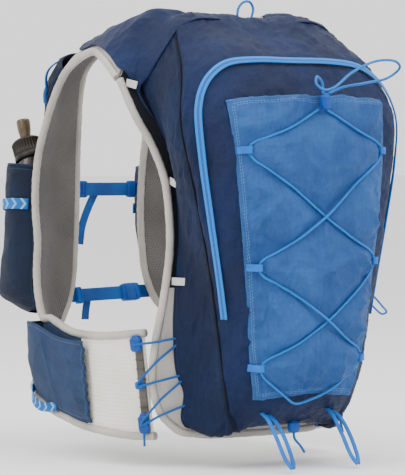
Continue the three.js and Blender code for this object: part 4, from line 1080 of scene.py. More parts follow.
# The last piping was the right one, and both stops sit at its ends
for word, end, before in (("left", 0, 6), ("right", -1, -7)):
    up = unit(zipper_line[end] - zipper_line[before])
    stop = pebble(f"zipper_stop_{word}", piping[end], axes(over[end], up), STOP_SIZE, "cyan_plastic")
    trim(stop)
print("zipper length", round(float(lengths(zipper_line, 0)[-1]), 3))

# %% [markdown]
# ## Stash pocket
# A slack pocket of lighter nylon is sewn to the face at its sides and bottom and is open at the
# top. It bellies in the middle, and its folds fan from the seams. Cloth with a little spare
# length, held at its border and pressed from behind, makes such folds by itself, so a short
# cloth simulation runs here and is then applied.

# %% Stash pocket
# Node, share across and share down
TAPE_LOOPS = [
    ["bungee_loop_1_left", 0.6, 0.325],
    ["bungee_loop_2_left", 0.51, 0.59],
    ["bungee_loop_3_left", 0.44, 0.82],
    ["bungee_loop_1_right", -0.62, 0.325],
    ["bungee_loop_2_right", -0.54, 0.58],
    ["bungee_loop_3_right", -0.44, 0.805],
]
# Shares across and down, and how many layers lie under it; the pocket is pressed flat there
BUNGEE_ROUTE = [
    [-0.03, 0.236, 0],
    [0.28, 0.28, 0],
    [0.6, 0.3105, 0],
    [0.6, 0.3395, 0],
    [0.25, 0.41, 0],
    [-0.06, 0.485, 0],
    [-0.3, 0.53, 0],
    [-0.54, 0.5655, 0],
    [-0.54, 0.5945, 0],
    [-0.3, 0.66, 0],
    [-0.05, 0.72, 0],
    [0.2, 0.77, 0],
    [0.44, 0.8055, 0],
    [0.44, 0.8345, 0],
    [0.28, 0.875, 0],
    [0.12, 0.905, 0],
    [-0.1, 0.885, 0],
    [-0.44, 0.8195, 0],
    [-0.44, 0.7905, 0],
    [-0.25, 0.76, 0],
    [-0.02, 0.708, 1],
    [0.25, 0.65, 0],
    [0.51, 0.6045, 0],
    [0.51, 0.5755, 0],
    [0.22, 0.53, 0],
    [-0.03, 0.475, 1],
    [-0.32, 0.4, 0],
    [-0.62, 0.3395, 0],
    [-0.62, 0.3105, 0],
    [-0.35, 0.28, 0],
    [-0.07, 0.236, 0],
]
BUNGEE_CLEAR, BUNGEE_LEAST = 0.013, 0.12
RAY_REACH, RAY_HEIGHT, RAY_COUNT, RAY_SHIFT = 0.035, 0.004, 3.5, 9
STASH_SLACK = 0.009
STASH_STEPS = (84, 110)
STASH_RIM, STASH_SHARP = 0.08, 4
SEWN_SIDE, SEWN_BOTTOM, SPARE_CLOTH = 0.02, 0.985, 0.04
HEM_WIDTH, HEM_THICKNESS = 0.004, 0.0026
SETTLE_FRAMES, SETTLE_CAP, SETTLE_PRESSURE, SETTLE_BENDING = 20, 0.004, 4.0, 0.15
FOLD_HEIGHT = 0.003
# Middle across and down, lean in degrees, half length, half width and share of the height
STASH_FOLDS = [
    [0.14, 0.3, 8, 0.3, 0.07, 0.8],
    [0.3, 0.12, -30, 0.2, 0.08, 0.6],
    [0.72, 0.1, 35, 0.2, 0.08, 0.6],
    [0.16, 0.62, 5, 0.22, 0.06, 0.7],
    [0.3, 0.86, -20, 0.16, 0.07, 0.6],
    [0.86, 0.45, -6, 0.3, 0.07, 0.7],
    [0.7, 0.9, 25, 0.16, 0.07, 0.6],
]
# Half width of the pocket as a share, and the share down the vest where it is measured
STASH_WIDTHS = [
    [0.71, 0.215],
    [0.685, 0.32],
    [0.64, 0.45],
    [0.6, 0.56],
    [0.555, 0.68],
    [0.5, 0.81],
    [0.44, 0.895],
]


def fold_height(s, t):
    """Height of the broad folds at shares across and down the pocket."""
    height = 0
    for across, along, lean, length, width, share in STASH_FOLDS:
        lean = math.radians(lean)
        x, y = s - across, t - along
        run = x * math.sin(lean) + y * math.cos(lean)
        off = x * math.cos(lean) - y * math.sin(lean)
        height = height + share * np.exp(-((run / length) ** 2) - (off / width) ** 2)
    return height * FOLD_HEIGHT


def stash_slack(s, t):
    """How far the slack pocket stands off the pack."""
    belly = np.sin(np.pi * s) ** 0.7 * np.cos(np.pi / 2 * t**2)
    return STASH_SLACK * belly + fold_height(s, t) * np.sin(np.pi * s)


row_shares = np.linspace(0, 1, 121)
stash_rows = spline([[a, b, 0] for a, b in STASH_WIDTHS], row_shares)


def over_stash(x, down, height):
    """A place over the stash pocket, from shares across and down the vest."""
    x, down = np.asarray(x, float), np.asarray(down, float)
    half = np.interp(down, stash_rows[:, 1], stash_rows[:, 0])
    t = np.interp(down, stash_rows[:, 1], row_shares)
    s = np.clip(0.5 - x / (2 * half), 0, 1)
    u, v = pack_spot(x, down)
    return pack.lift(u, v, 2 * FABRIC + SEAT + stash_slack(s, t) + height)


def settle(piece, outer_count, held, free):
    """Cloth simulation of one sheet, then applied.

    held is 1 where the sheet is sewn, and free is the share of the movement kept at each point.
    """
    mesh = piece.data
    start = np.zeros(len(mesh.vertices) * 3)
    mesh.vertices.foreach_get("co", start)
    start = start.reshape(-1, 3)
    face = bpy.data.meshes.new("cloth_run")
    quads = [tuple(p.vertices) for p in mesh.polygons if max(p.vertices) < outer_count]
    face.from_pydata(start[:outer_count].tolist(), [], quads)
    run = bpy.data.objects.new("cloth_run", face)
    bpy.context.scene.collection.objects.link(run)
    group = run.vertex_groups.new(name="sewn")
    for k, share in enumerate(held):
        if share > 0:
            group.add([k], float(share), "REPLACE")
    cloth = run.modifiers.new("cloth", "CLOTH")
    cloth.settings.vertex_group_mass = "sewn"
    cloth.settings.effector_weights.gravity = 0
    cloth.settings.use_pressure = True
    cloth.settings.uniform_pressure_force = SETTLE_PRESSURE
    cloth.settings.shrink_min = -SPARE_CLOTH
    cloth.settings.bending_stiffness = SETTLE_BENDING
    cloth.collision_settings.use_collision = False
    for number in range(1, SETTLE_FRAMES + 1):
        bpy.context.scene.frame_set(number)
    settled = np.zeros(outer_count * 3)
    run.evaluated_get(bpy.context.evaluated_depsgraph_get()).data.vertices.foreach_get("co", settled)
    bpy.data.objects.remove(run)
    bpy.context.scene.frame_set(1)
    move = settled.reshape(-1, 3) - start[:outer_count]
    size = np.linalg.norm(move, axis=1, keepdims=True)
    move *= np.minimum(1, SETTLE_CAP / np.maximum(size, 1e-9)) * free[:, None]
    start[:outer_count] += move
    start[outer_count:] += move
    mesh.vertices.foreach_set("co", start.ravel())
    mesh.update()
    return float(size.max())


s, t = grid(*STASH_STEPS)
half, down = spline([[a, b, 0] for a, b in STASH_WIDTHS], t[:, 0])[:, :2].T
u, v = pack_spot(half, down)
u = mix(u[:, None], 1 - u[:, None], s)
v = np.broadcast_to(v[:, None], u.shape)
base = FABRIC + SEAT + stash_slack(s, t)
plan = resample(BUNGEE_ROUTE, 300)[:, :2] * [HALF_WIDTH, VEST_HEIGHT]
plain = pack.at(u, v)
flat = plain[..., [0, 2]] * [1, -1]
clear = away_from(flat, plan, BUNGEE_CLEAR, BUNGEE_LEAST)
rays = np.zeros(u.shape)
for _, across, down in TAPE_LOOPS:
    dx, dz = flat[..., 0] - across * HALF_WIDTH, flat[..., 1] - down * VEST_HEIGHT
    away, angle = np.hypot(dx, dz), np.arctan2(dz, dx)
    ridge = (1 - np.abs(np.sin(angle * RAY_COUNT + down * RAY_SHIFT))) ** 2
    rays += np.exp(-((away / RAY_REACH) ** 2)) * ridge
sx, tx = ground(plain)
rim = np.clip(np.minimum(s, 1 - s) / STASH_RIM, 0, 1)
broad = creases("stash_broad", sx, tx * FOLD_STRETCH, STASH_SHARP)
wrinkle = (broad + creases("stash_fine", sx, tx)) * rim * clear
wrinkle += RAY_HEIGHT * rays * rim * clear
outer = pack.lift(u, v, base + FABRIC + wrinkle)
stash = sheet("stash_cloth", outer, pack.lift(u, v, base), "steel_nylon")
stands_for(stash, "stash_pocket")
cut_cloth(stash)
sewn = ((s < SEWN_SIDE) | (s > 1 - SEWN_SIDE) | (t > SEWN_BOTTOM)).astype(float).ravel()
print("stash pocket moved", round(settle(stash, s.size, sewn, clear.ravel()), 4))
top_edge = pack.lift(u[0], v[0], base[0] + FABRIC / 2)
hem_section = ribbon_section(HEM_WIDTH, HEM_THICKNESS)
trim(swept("stash_hem", top_edge, hem_section, "steel_nylon", pack.normal(u[0], v[0])))
print("stash pocket:", len(stash.data.polygons), "faces")

# %% [markdown]
# ## Cords on the pack
# One length of round bungee zigzags under tape loops at the pocket's sides and ends in a spring
# lock, and what is left over stands out of the lock as a small and a large loop. Routes are
# short lists of places that a hand would lace through, and a smooth curve joins them.

# %% Bungee, loops and locks
BUNGEE_RADIUS = 0.0014
CINCH_RADIUS = 0.0013
LOOP_CORD_RADIUS = 0.0011
BUNGEE_SEAT = 0.0016
BUNGEE_LAYER = 2.4
BUNGEE_POINTS, BUNGEE_EASE = 620, 9
LOOP_TAPE_WIDTH = 0.0075
LOOP_TAPE_REACH = 0.007
LOOP_TAPE_THICKNESS = 0.0012
LOOP_TAPE_SPOTS = [(-0.5, 0.4), (-0.38, 1), (0.4, 1), (1.4, 0)]
# Places in millimetres from the lock: across, out and up
SPARE_LOOP = [
    [-3, 0, 8.4],
    [-8, 4, 20],
    [-18, 8, 25],
    [-20, 10, 18],
    [-12, 12, 12],
    [0, 13, 14],
    [22, 16, 30],
    [52, 18, 42],
    [80, 16, 42],
    [88, 12, 36],
    [78, 6, 26],
    [50, 4, 20],
    [20, 3, 15],
    [3.5, 0, 8.4],
]
LOCK_SIZE = (0.011, 0.008, 0.015)
LOCK_X, LOCK_DOWN = -0.05, 0.228


def cord_piece(node, line, radius, look):
    return stands_for(swept(f"{node}_braid", line, circle(radius, 12), look), node)


def loose_cord(line):
    """The length of a loose cord along its path."""
    length = float(lengths(line, 0)[-1])
    return length


def tape(name, node, line, width, thickness, look, towards):
    """Flat webbing along a line, with its width kept towards a direction."""
    piece = swept(f"{name}_tape", line, ribbon_section(width, thickness), look, towards)
    return stands_for(piece, node) if node else trim(piece)


def pulled_tight(points, count, ease):
    """Straight runs between points, with each corner eased over a number of steps."""
    points = np.asarray(points, float)
    run = lengths(points * [HALF_WIDTH, VEST_HEIGHT, 0], 0)
    want = np.linspace(0, run[-1], count)
    line = np.stack([np.interp(want, run, points[:, k]) for k in range(3)], -1)
    ends = np.concatenate([np.repeat(line[:1], ease, 0), line, np.repeat(line[-1:], ease, 0)])
    window = np.hanning(2 * ease + 3)[1:-1]
    return np.stack([np.convolve(ends[:, k], window / window.sum(), "valid") for k in range(3)], -1)


plan = pulled_tight(BUNGEE_ROUTE, BUNGEE_POINTS, BUNGEE_EASE)
layer = np.clip(plan[:, 2], 0, 1) * BUNGEE_LAYER * BUNGEE_RADIUS
laced = over_stash(plan[:, 0], plan[:, 1], BUNGEE_RADIUS + BUNGEE_SEAT + layer)
cord_piece("stash_bungee", laced, BUNGEE_RADIUS, "cyan_cord")
for name, x, down in TAPE_LOOPS:
    step = math.copysign(LOOP_TAPE_REACH, x) / HALF_WIDTH
    over = BUNGEE_SEAT + 2 * BUNGEE_RADIUS + 2 * CLEARANCE
    line = []
    for reach, share in LOOP_TAPE_SPOTS:
        height = CLEARANCE + share * over + LOOP_TAPE_THICKNESS / 2
        line.append(over_stash(x + reach * step, down, height).tolist())
    tape(name, name, resample(line, 40), LOOP_TAPE_WIDTH, LOOP_TAPE_THICKNESS, "pale_blue_webbing", UP)


# Part of a lock, its middle up the barrel, its width and height as shares, and its squareness
LOCK_PARTS = [("barrel", 0, 1, 1, 0.55), ("button", 0.46, 0.62, 0.3, 0.6), ("rim", 0.3, 1.04, 0.14, 0.5)]


def spring_lock(name, node, origin, frame_axes, size):
    """A cord lock: a barrel, a button that stands out of its top and a rim between them."""
    across, out, up = size
    parts = []
    for part, middle, wide, high, square in LOCK_PARTS:
        parts.append(pebble(f"{name}_{part}", origin + (up * middle) * frame_axes[2], frame_axes,
                            (across * wide, out * wide, up * high), "blue_plastic", square))
    return stands_for(joined(f"{name}_lock", parts), node)


lock_rise = LOCK_SIZE[1] / 2 + 2 * BUNGEE_RADIUS + BUNGEE_SEAT + 5 * CLEARANCE
lock_at = over_stash(LOCK_X, LOCK_DOWN, lock_rise)
lock_axes = axes([-1, 0, 0], UP)
spring_lock("bungee", "bungee_lock", lock_at, lock_axes, LOCK_SIZE)
spare = resample(lock_at + np.array(SPARE_LOOP) / 1000 @ lock_axes, 160)
spare_piece = cord_piece("bungee_spare_loops", spare, BUNGEE_RADIUS, "cyan_cord")
spare_length = loose_cord(spare)
print("bungee", round(float(lengths(laced, 0)[-1]), 3), "m, spare loops", round(spare_length, 3), "m")

# %% [markdown]
# The hang loop stands on the pack's top, and the zipper's pull cord hangs in a loop from its
# right side. Their places are in millimetres from where they start.

# %% Hang loop and zipper pull
HANG_ALONG = 0.0625
HANG_THICKER = 1.25
HANG_LOOP = [
    [9, 0, 0],
    [9, 0, 4],
    [7, 0, 13],
    [1, 1, 19],
    [-7, 1, 19],
    [-12, 0, 12],
    [-10, 0, 4],
    [-9, 0, 0],
]
PULL_X, PULL_DOWN = -0.7, 0.65
ZIPPER_PULL = [
    [0, 0, 0],
    [-10, 5, -3],
    [-20, 5, -10],
    [-31, 5, -20],
    [-38, 4, -27],
    [-34, 2, -29],
    [-20, 1, -19],
    [-9, 1, -11],
]
hang = pack.lift(0.5, HANG_ALONG, FABRIC + SEAT) + np.array(HANG_LOOP) / 1000
cord_piece("hang_loop", resample(hang, 90), LOOP_CORD_RADIUS * HANG_THICKER, "cyan_cord")
pull = on_pack(PULL_X, PULL_DOWN, CLEARANCE + LOOP_CORD_RADIUS) + np.array(ZIPPER_PULL) / 1000
pull = resample(pull, 110)
pull_piece = cord_piece("zipper_pull_cord", pull, LOOP_CORD_RADIUS, "cyan_cord")
pull_length = loose_cord(pull)
print("hang loop", len(hang), "points, pull cord", round(pull_length, 3), "m")

# %% [markdown]
# ## Yokes
# Navy cloth runs from a rounded tip on each strap, over the shoulder and onto the pack's top.

# %% Yokes
YOKE_SEAT = 0.0018
YOKE_RIM = 0.0024
NAPE_SHARE, NAPE_ALONG = 2.4, 0.004
YOKE_STEPS, YOKE_CROWN = (70, 130), 0.1
# Share along the strap, and where the neck edge and the arm edge lie across it
YOKE_STRAP = [
    [0.3, 0.28, 0.72],
    [0.275, 0.1, 0.9],
    [0.25, 0.05, 0.96],
    [0.1875, 0.04, 0.96],
    [0.125, 0.04, 0.96],
    [0.0625, 0.04, 0.96],
    [0, 0.04, 0.96],
]
YOKE_ACROSS = [0.415, 0.357, 0.286, 0.214, 0.143, 0.071, 0]
YOKE_COLUMNS = [0, 0.174, 0.391, 0.609, 0.717, 0.826, 0.935, 1]
# Share down the pack, and the arm edge's place across and along the back panel
YOKE_PACK = [
    [0.031, 0.035, 0.06],
    [0.0625, 0.04, 0.11],
    [0.125, 0.055, 0.16],
]


def yoke_rows(rise):
    """Rows of the left yoke at a height: over the strap, over the nape and onto the pack."""
    t = np.array(YOKE_COLUMNS)
    rows = [left_harness.lift(mix(neck, arm, t), along, PADDING + rise) for along, neck, arm in YOKE_STRAP]
    first, last = YOKE_STRAP[-1][1:]
    rows.append(back_panel.lift((1 - mix(first, last, t)) / NAPE_SHARE, NAPE_ALONG, PADDING + rise))
    for along, arm_across, arm_along in YOKE_PACK:
        u = np.array(YOKE_ACROSS)
        row = pack.lift(u, along, FABRIC + rise + YOKE_RIM * (u == 0))
        rows.append(np.vstack([row, back_panel.lift(arm_across, arm_along, PADDING + rise)]))
    return rows


yoke_inner, yoke_outer = Patch(yoke_rows(YOKE_SEAT)), Patch(yoke_rows(YOKE_SEAT + FABRIC))
for word, side in SIDES:
    u, v = grid(*YOKE_STEPS)
    inner, outer = [(p if side == 1 else p.mirrored()).at(u, v) for p in (yoke_inner, yoke_outer)]
    s, t = ground(outer)
    outer = outer + unit(outer - inner) * (creases("yoke", s, t) * crown(u, v, YOKE_CROWN))[..., None]
    yoke = sheet(f"yoke_{word}_cloth", outer, inner, "navy_nylon")
    stands_for(yoke, f"yoke_{word}")
    cut_cloth(yoke)
print("yokes ready")

# %% [markdown]
# ## Pockets on the chest and the sides
# The chest pocket puffs out, the lower pocket's rear edge is gathered by elastic, and the bottle
# pocket is half a tube. Where a pocket is gathered the cloth ripples across the elastic.

# %% Chest and lower pockets
# Areas on a panel: from and to across it, from and to along it
CHEST_AREA = (0.06, 0.94, 0.38, 0.585)
CHEST_POCKET_DEPTH = 0.009
LOWER_AREA = (0.03, 0.97, 0.03, 0.68)
LOWER_POCKET_DEPTH = 0.019
WAVE_DEPTH, WAVES = 0.05, 9
GATHER_HEIGHT, GATHER_STEP, GATHER_BEND = 0.0007, 0.0095, 60
TAB_WIDTH, TAB_THICKNESS = 0.01, 0.0014
TAB_U, TAB_V = (0.93, 1.0), (0.1, 0.37)
TAB_OFF, TAB_BOW = 0.007, 0.008


def pouch(name, patch, area, base, profile, look, steps):
    """A pocket over an area of a panel, standing off it by a profile."""
    s, t = grid(*steps)
    u, v = mix(area[0], area[1], s), mix(area[2], area[3], t)
    x, y = ground(patch.at(u, v))
    rise = base + profile(s, t, x, y)
    outer = patch.lift(u, v, rise + FABRIC)
    piece = stands_for(sheet(f"{name}_cloth", outer, patch.lift(u, v, rise), look), name)
    return cut_cloth(piece)


def chest_rise(s, t, x, y):
    puff = np.clip(np.sin(np.pi * s) * np.sin(np.pi * mix(0.15, 1, t)), 0, 1) ** 0.6
    return CHEST_POCKET_DEPTH * puff + creases("chest_pocket", x, y) * crown(s, t)


def lower_rise(s, t, x, y):
    swell = (1 - s**3) * np.sin(np.pi * mix(0.12, 0.92, t)) ** 0.6 * mix(1, 0.5, t)
    waves = WAVE_DEPTH * (1 + np.cos(WAVES * np.pi * s)) * t**4
    gathers = GATHER_HEIGHT * (1 + np.sin(x * TURN / GATHER_STEP + 2 * np.sin(y * GATHER_BEND))) * t**4
    return LOWER_POCKET_DEPTH * (swell + waves) + gathers + creases("lower_pocket", x, y) * crown(s, t)


for word, patch in harnesses.items():
    pouch(f"chest_pocket_{word}", patch, CHEST_AREA, PADDING + SEAT, chest_rise, "navy_stretch",
          (60, 90))
for word, patch in wings.items():
    pouch(f"lower_pocket_{word}", patch, LOWER_AREA, STRETCH + SEAT, lower_rise, "steel_stretch",
          (80, 130))
for word, patch in wings.items():
    k = np.linspace(0, 1, 60)
    belly = TAB_OFF + TAB_BOW * np.sin(np.pi * k)
    line = patch.lift(mix(*TAB_U, np.sin(np.pi * k)), mix(*TAB_V, k), belly)
    downwards = patch.at(1, 0.2) - patch.at(0.8, 0.2)
    section = ribbon_section(TAB_WIDTH, TAB_THICKNESS)
    trim(swept(f"lower_pull_{word}", line, section, "chevron_webbing", downwards))
print("chest and lower pockets ready")

# %% [markdown]
# A bottle pocket is half a tube on the chest panel, deepest near its foot. Its mouth has a rolled
# hem, a strap goes round it, and a knotted cord and a pull tab stand beside it.

# %% Bottle pockets and their straps
BOTTLE_U, BOTTLE_REACH, BOTTLE_V = 0.54, 0.4, (0.66, 0.975)
BOTTLE_POCKET_DEPTH = 0.05
BOTTLE_BELLY = 0.018
BOTTLE_DEPTHS = [(0, 0.9), (0.2, 0.92), (0.4, 0.92), (0.6, 0.98), (0.8, 1.0), (1, 0.3)]
STRAP_WIDTH, STRAP_ENDS = 0.012, (0.12, 0.99)
STRAP_ALONG, STRAP_OFF, STRAP_PRESS = 0.25, 0.0037, 0.09
WEBBING_THICKNESS = 0.0016
CHEST_PULL_WIDTH, CHEST_PULL_OFF, CHEST_PULL_BOW = 0.005, 0.0006, 0.005
CHEST_PULL_ACROSS, CHEST_PULL_ALONG = (0.72, 0.86), (0.385, 0.47)
CHEST_PULL_END = [[0, 0, 0], [0, -0.003, -0.004], [0, -0.004, -0.011], [0, -0.003, -0.017]]
# Places of the knot's lumps across and down the pocket, and their size
BOTTLE_KNOT = [(0.56, 0.0), (0.54, 0.04), (0.57, 0.08), (0.55, 0.12)]
KNOT_SIZE, KNOT_OFF = (0.007, 0.006, 0.005), 0.003


def on_bottle_pocket(patch, s, t, height):
    """Places on the half tube: s round it, t down it, at a height off it."""
    s, t, height = np.broadcast_arrays(*(np.asarray(each, float) for each in (s, t, height)))
    angle = np.pi * (1 - s)
    rise = np.clip(np.sin(angle), 0, 1)
    v = mix(*BOTTLE_V, t)
    seat = patch.lift(BOTTLE_U + BOTTLE_REACH * np.cos(angle), v, PADDING + SEAT)
    side = unit(patch.at(1, v) - patch.at(0, v)) * np.cos(angle)[..., None]
    depth = BOTTLE_POCKET_DEPTH * np.interp(t, [a for a, _ in BOTTLE_DEPTHS], [b for _, b in BOTTLE_DEPTHS])
    out = depth * rise**0.75 + height * np.maximum(rise, 0.3)
    belly = BOTTLE_BELLY * np.sqrt(rise) * (1 - t**4)
    return seat + patch.normal(BOTTLE_U, v) * out[..., None] + side * (height + belly)[..., None]


for word, patch in harnesses.items():
    s, t = grid(100, 90)
    x, y = ground(on_bottle_pocket(patch, s, t, 0.0))
    under = np.exp(-(((t - STRAP_ALONG) / STRAP_PRESS) ** 2))
    rise = creases("bottle_pocket", x, y * FOLD_STRETCH) * crown(s, t) * (1 - under)
    outer, inner = (on_bottle_pocket(patch, s, t, height) for height in (FABRIC + rise, rise))
    # The bottle pocket takes the dark navy knit: partly its own dark steel-blue, partly painted shade.
    pocket = sheet(f"bottle_pocket_{word}_cloth", outer, inner, "navy_stretch", "navy_lining_and_gap_shade")
    stands_for(pocket, f"bottle_pocket_{word}")
    cut_cloth(pocket)
    around = on_bottle_pocket(patch, np.linspace(*STRAP_ENDS, 90), STRAP_ALONG, STRAP_OFF)
    tape(f"bottle_strap_{word}", f"bottle_strap_{word}", around, STRAP_WIDTH, WEBBING_THICKNESS,
         "chevron_webbing", UP)
    k = np.linspace(0, 1, 40)
    height = PADDING + CHEST_POCKET_DEPTH + CHEST_PULL_OFF + CHEST_PULL_BOW * np.sin(np.pi * k)
    line = patch.lift(mix(*CHEST_PULL_ACROSS, k), mix(*CHEST_PULL_ALONG, k), height)
    tape(f"chest_pull_{word}", f"chest_pull_tab_{word}", line, CHEST_PULL_WIDTH, WEBBING_THICKNESS,
         "blue_webbing", patch.at(1, 0.42) - patch.at(0, 0.42))
    end = resample(line[-1] + np.array(CHEST_PULL_END), 30)
    trim(swept(f"chest_pull_end_{word}", end, circle(0.002, 12), "deep_cord"))
    knot_s, knot_t = np.array(BOTTLE_KNOT).T
    for number, spot in enumerate(on_bottle_pocket(patch, knot_s, knot_t, KNOT_OFF)):
        lump = pebble(f"bottle_knot_{word}_{number}", spot, axes([1, 0, 0], [0.3, 0, 1]), KNOT_SIZE,
                      "deep_cord", 0.8)
        trim(lump)
    mouth = on_bottle_pocket(patch, np.linspace(0, 1, 100), 0.0, FABRIC / 2)
    trim(swept(f"bottle_hem_{word}", mouth, hem_section, "navy_side", UP))
print("bottle pockets ready")

# %% [markdown]
# ## Side lacing
# A woven strip on the wing's rear edge carries three clips, and a thin cord zigzags from them to
# the pack's edge, so that the wing can be drawn in. The strip is tacked down at even steps.

# %% Side lacing
LACE_STRIP_WIDTH = 0.01
LACE_STRIP_AT, LACE_STRIP_ENDS = 0.975, (0.02, 0.98)
LACE_STRIP_THICKNESS = 0.002
LACE_LOCK_THICKNESS = 0.005
LACE_BOW = 0.007
LACE_PACK_LIFT = -0.004
LACE_PACK_ACROSS, LACE_TOP, LACE_BOTTOM = 0.025, 0.69, 0.86
# Share down the wing, and share down the pack's edge
LACE_ROUTE = [(0.08, 0), (0.5, 0.45), (0.9, 1)]
TACK_RADIUS, TACK_OFF = 0.0007, 0.0012
SIDE_LOCK_SWELL = (1.25, 1.3, 1.2)
SIDE_TAIL = [[0, 0, -0.006], [0.001, 0.002, -0.014], [0.002, 0.004, -0.022]]
# Node, share down the wing, width and height
LACE_CLIPS = [
    ("side_lock_top", 0.08, 0.011, 0.013),
    ("side_hook", 0.5, 0.011, 0.008),
    ("side_lock_bottom", 0.9, 0.01, 0.016),
]
for word, side in SIDES:
    wing = wings[word]
    height = STRETCH + SEAT + LACE_STRIP_THICKNESS / 2
    rear = wing.lift(np.linspace(*LACE_STRIP_ENDS, 80), LACE_STRIP_AT, height)
    across = unit(wing.at(0.5, 0.9) - wing.at(0.5, 1))
    tape(f"lace_strip_{word}", f"lace_strip_{word}", rear, LACE_STRIP_WIDTH, LACE_STRIP_THICKNESS,
         "grey_webbing", across)
    for k in range(2, 78, 8):
        bar = rear[k] + np.linspace(-0.5, 0.5, 5)[:, None] * across * LACE_STRIP_WIDTH
        bar = bar + wing.normal(0.5, LACE_STRIP_AT) * TACK_OFF
        tack = swept(f"strip_tack_{word}_{k}", bar, circle(TACK_RADIUS, 6), "grey_webbing")
        trim(tack)

    over_strip = STRETCH + SEAT + LACE_STRIP_THICKNESS
    rise = over_strip + 2 * CLEARANCE + LACE_LOCK_THICKNESS + SEAT + CINCH_RADIUS
    outward = np.array([side * LACE_BOW, LACE_BOW / 2, 0])
    route = []
    for strip, share in LACE_ROUTE:
        on_wing = wing.lift(strip, LACE_STRIP_AT, rise)
        down = mix(LACE_TOP, LACE_BOTTOM, share)
        on_bag = pack.lift(LACE_PACK_ACROSS, down, LACE_PACK_LIFT) * [side, 1, 1]
        if route:
            route.append(mix(route[-1], on_wing, 0.5) + outward)
        route += [on_wing, mix(on_wing, on_bag, 0.5) + outward, on_bag]
    # The lace takes the darker cord colour: partly the cord's own colour, partly painted shade from the gap
    # it crosses.
    cord_piece(f"side_lace_{word}", resample(np.array(route), 200), CINCH_RADIUS, "deep_cord")
    clip_axes = axes(across * side, wing.at(0, LACE_STRIP_AT) - wing.at(1, LACE_STRIP_AT))
    for name, u, width, height in LACE_CLIPS:
        origin = wing.lift(u, LACE_STRIP_AT, over_strip + CLEARANCE + LACE_LOCK_THICKNESS / 2)
        node, size = f"{name}_{word}", np.array([width, LACE_LOCK_THICKNESS, height])
        if name == "side_hook":
            stands_for(pebble(f"{node}_bar", origin, clip_axes, size, "blue_plastic"), node)
        else:
            spring_lock(node, node, origin, clip_axes, size * SIDE_LOCK_SWELL)
        if name == "side_lock_bottom":
            end = resample(origin + np.array(SIDE_TAIL) * [side, 1, 1], 24)
            trim(swept(f"side_tail_{word}", end, circle(CINCH_RADIUS, 10), "deep_cord"))
print("side lacing ready")

# %% [markdown]
# ## Flask
# The soft flask is a smoky film bottle with a ribbed screw cap and a rubber bite valve. Its film
# is rings of an oval that narrows to the neck; the cap and valve are turned.

# %% Flask
FLASK_LENGTH, FLASK_WIDTH, FLASK_THICKNESS = 0.156, 0.052, 0.036
FLASK_SEAT, FLASK_ACROSS, FLASK_GAP = 0.925, 0.52, 0.004
NECK_LEAN, NECK_OUT, NECK_RADIUS, NECK_LENGTH = 22, 0.007, 0.014, 0.012
CAP_RADIUS, CAP_HEIGHT = 0.0175, 0.021
VALVE_LENGTH, VALVE_RADIUS, VALVE_LEAN = 0.022, 0.007, 8
FLASK_DENT = 0.012
NECK_RINGS = (0, 0.3, 0.6, 1)
CAP_GAP, CAP_SKIRT, RIB_COUNT, RIB_DEPTH, RIB_START, RIB_STOP = 0.001, 0.0045, 32, 0.0012, 0.0023, 0.79
# Share up the flask, shares of its width and thickness, and millimetres outwards
FLASK_RINGS = [
    [0, 0.6, 0.5, 0],
    [0.05, 0.92, 0.86, 0],
    [0.35, 1, 1, 0],
    [0.72, 1, 0.95, 0.5],
    [0.9, 0.82, 0.8, 3],
]


class Stand:
    """A place and three axes: across, out and up."""

    def __init__(self, origin, frame_axes):
        self.origin, self.axes = np.asarray(origin), frame_axes

    def at(self, *local):
        return self.origin + np.array(local) @ self.axes

    def leaning(self, x, y, z, degrees=0):
        lean = math.radians(degrees)
        up = self.axes[2] * math.cos(lean) + self.axes[1] * math.sin(lean)
        return Stand(self.at(x, y, z), axes(self.axes[0], up))


def skin(name, loops, look):
    """A closed skin through rings of points."""
    points = np.array(loops)
    count, sides = points.shape[:2]
    around, up = np.meshgrid(np.arange(sides) * 0.001, np.arange(count) * 0.001)
    cloth = np.stack([around, up, 0 * up], -1)
    return make_object(name, points, tube_faces(count, sides), [look], None, {"cloth": cloth})


def turned(name, stand, profile, look, sides=96, ribs=0, depth=0.0, between=(0, 0)):
    """A turned form: profile of [radius, height], with upright ribs between two heights."""
    turn = TURN * np.arange(sides) / sides
    loops = []
    for radius, height in profile:
        groove = depth * (0.5 - 0.5 * np.cos(turn * ribs)) if between[0] <= height <= between[1] else 0
        r = np.maximum(radius - groove, 0.0002) + 0 * turn
        loops.append([stand.at(a, b, height) for a, b in zip(r * np.cos(turn), r * np.sin(turn))])
    return skin(name, loops, look)


rise = PADDING + FLASK_GAP + FLASK_THICKNESS / 2
foot, top = (left_harness.lift(FLASK_ACROSS, along, rise) for along in (FLASK_SEAT, BOTTLE_V[0]))
stand = Stand(foot, axes(left_harness.at(1, 0.8) - left_harness.at(0, 0.8), top - foot))
neck = stand.leaning(0, NECK_OUT, FLASK_LENGTH, NECK_LEAN)
loops = []
turn = TURN * (np.arange(64) + 0.5) / 64
for up, width, depth, out in spline(FLASK_RINGS, np.linspace(0, 1, 50)):
    ring = stand.leaning(0, out / 1000, up * FLASK_LENGTH)
    dents = 1 + FLASK_DENT * np.sin(3 * turn + up * 14) * (1 - up)
    x = width * FLASK_WIDTH / 2 * np.cos(turn) * dents
    y = depth * FLASK_THICKNESS / 2 * np.sin(turn) * dents
    loops.append([ring.at(a, b, 0) for a, b in zip(x, y)])
for up in NECK_RINGS:
    ring = neck.leaning(0, 0, up * NECK_LENGTH)
    loops.append([ring.at(NECK_RADIUS * math.cos(a), NECK_RADIUS * math.sin(a), 0) for a in turn])
stands_for(skin("flask_film", loops, "smoke_film"), "flask_body")

cap = neck.leaning(0, 0, CAP_GAP)
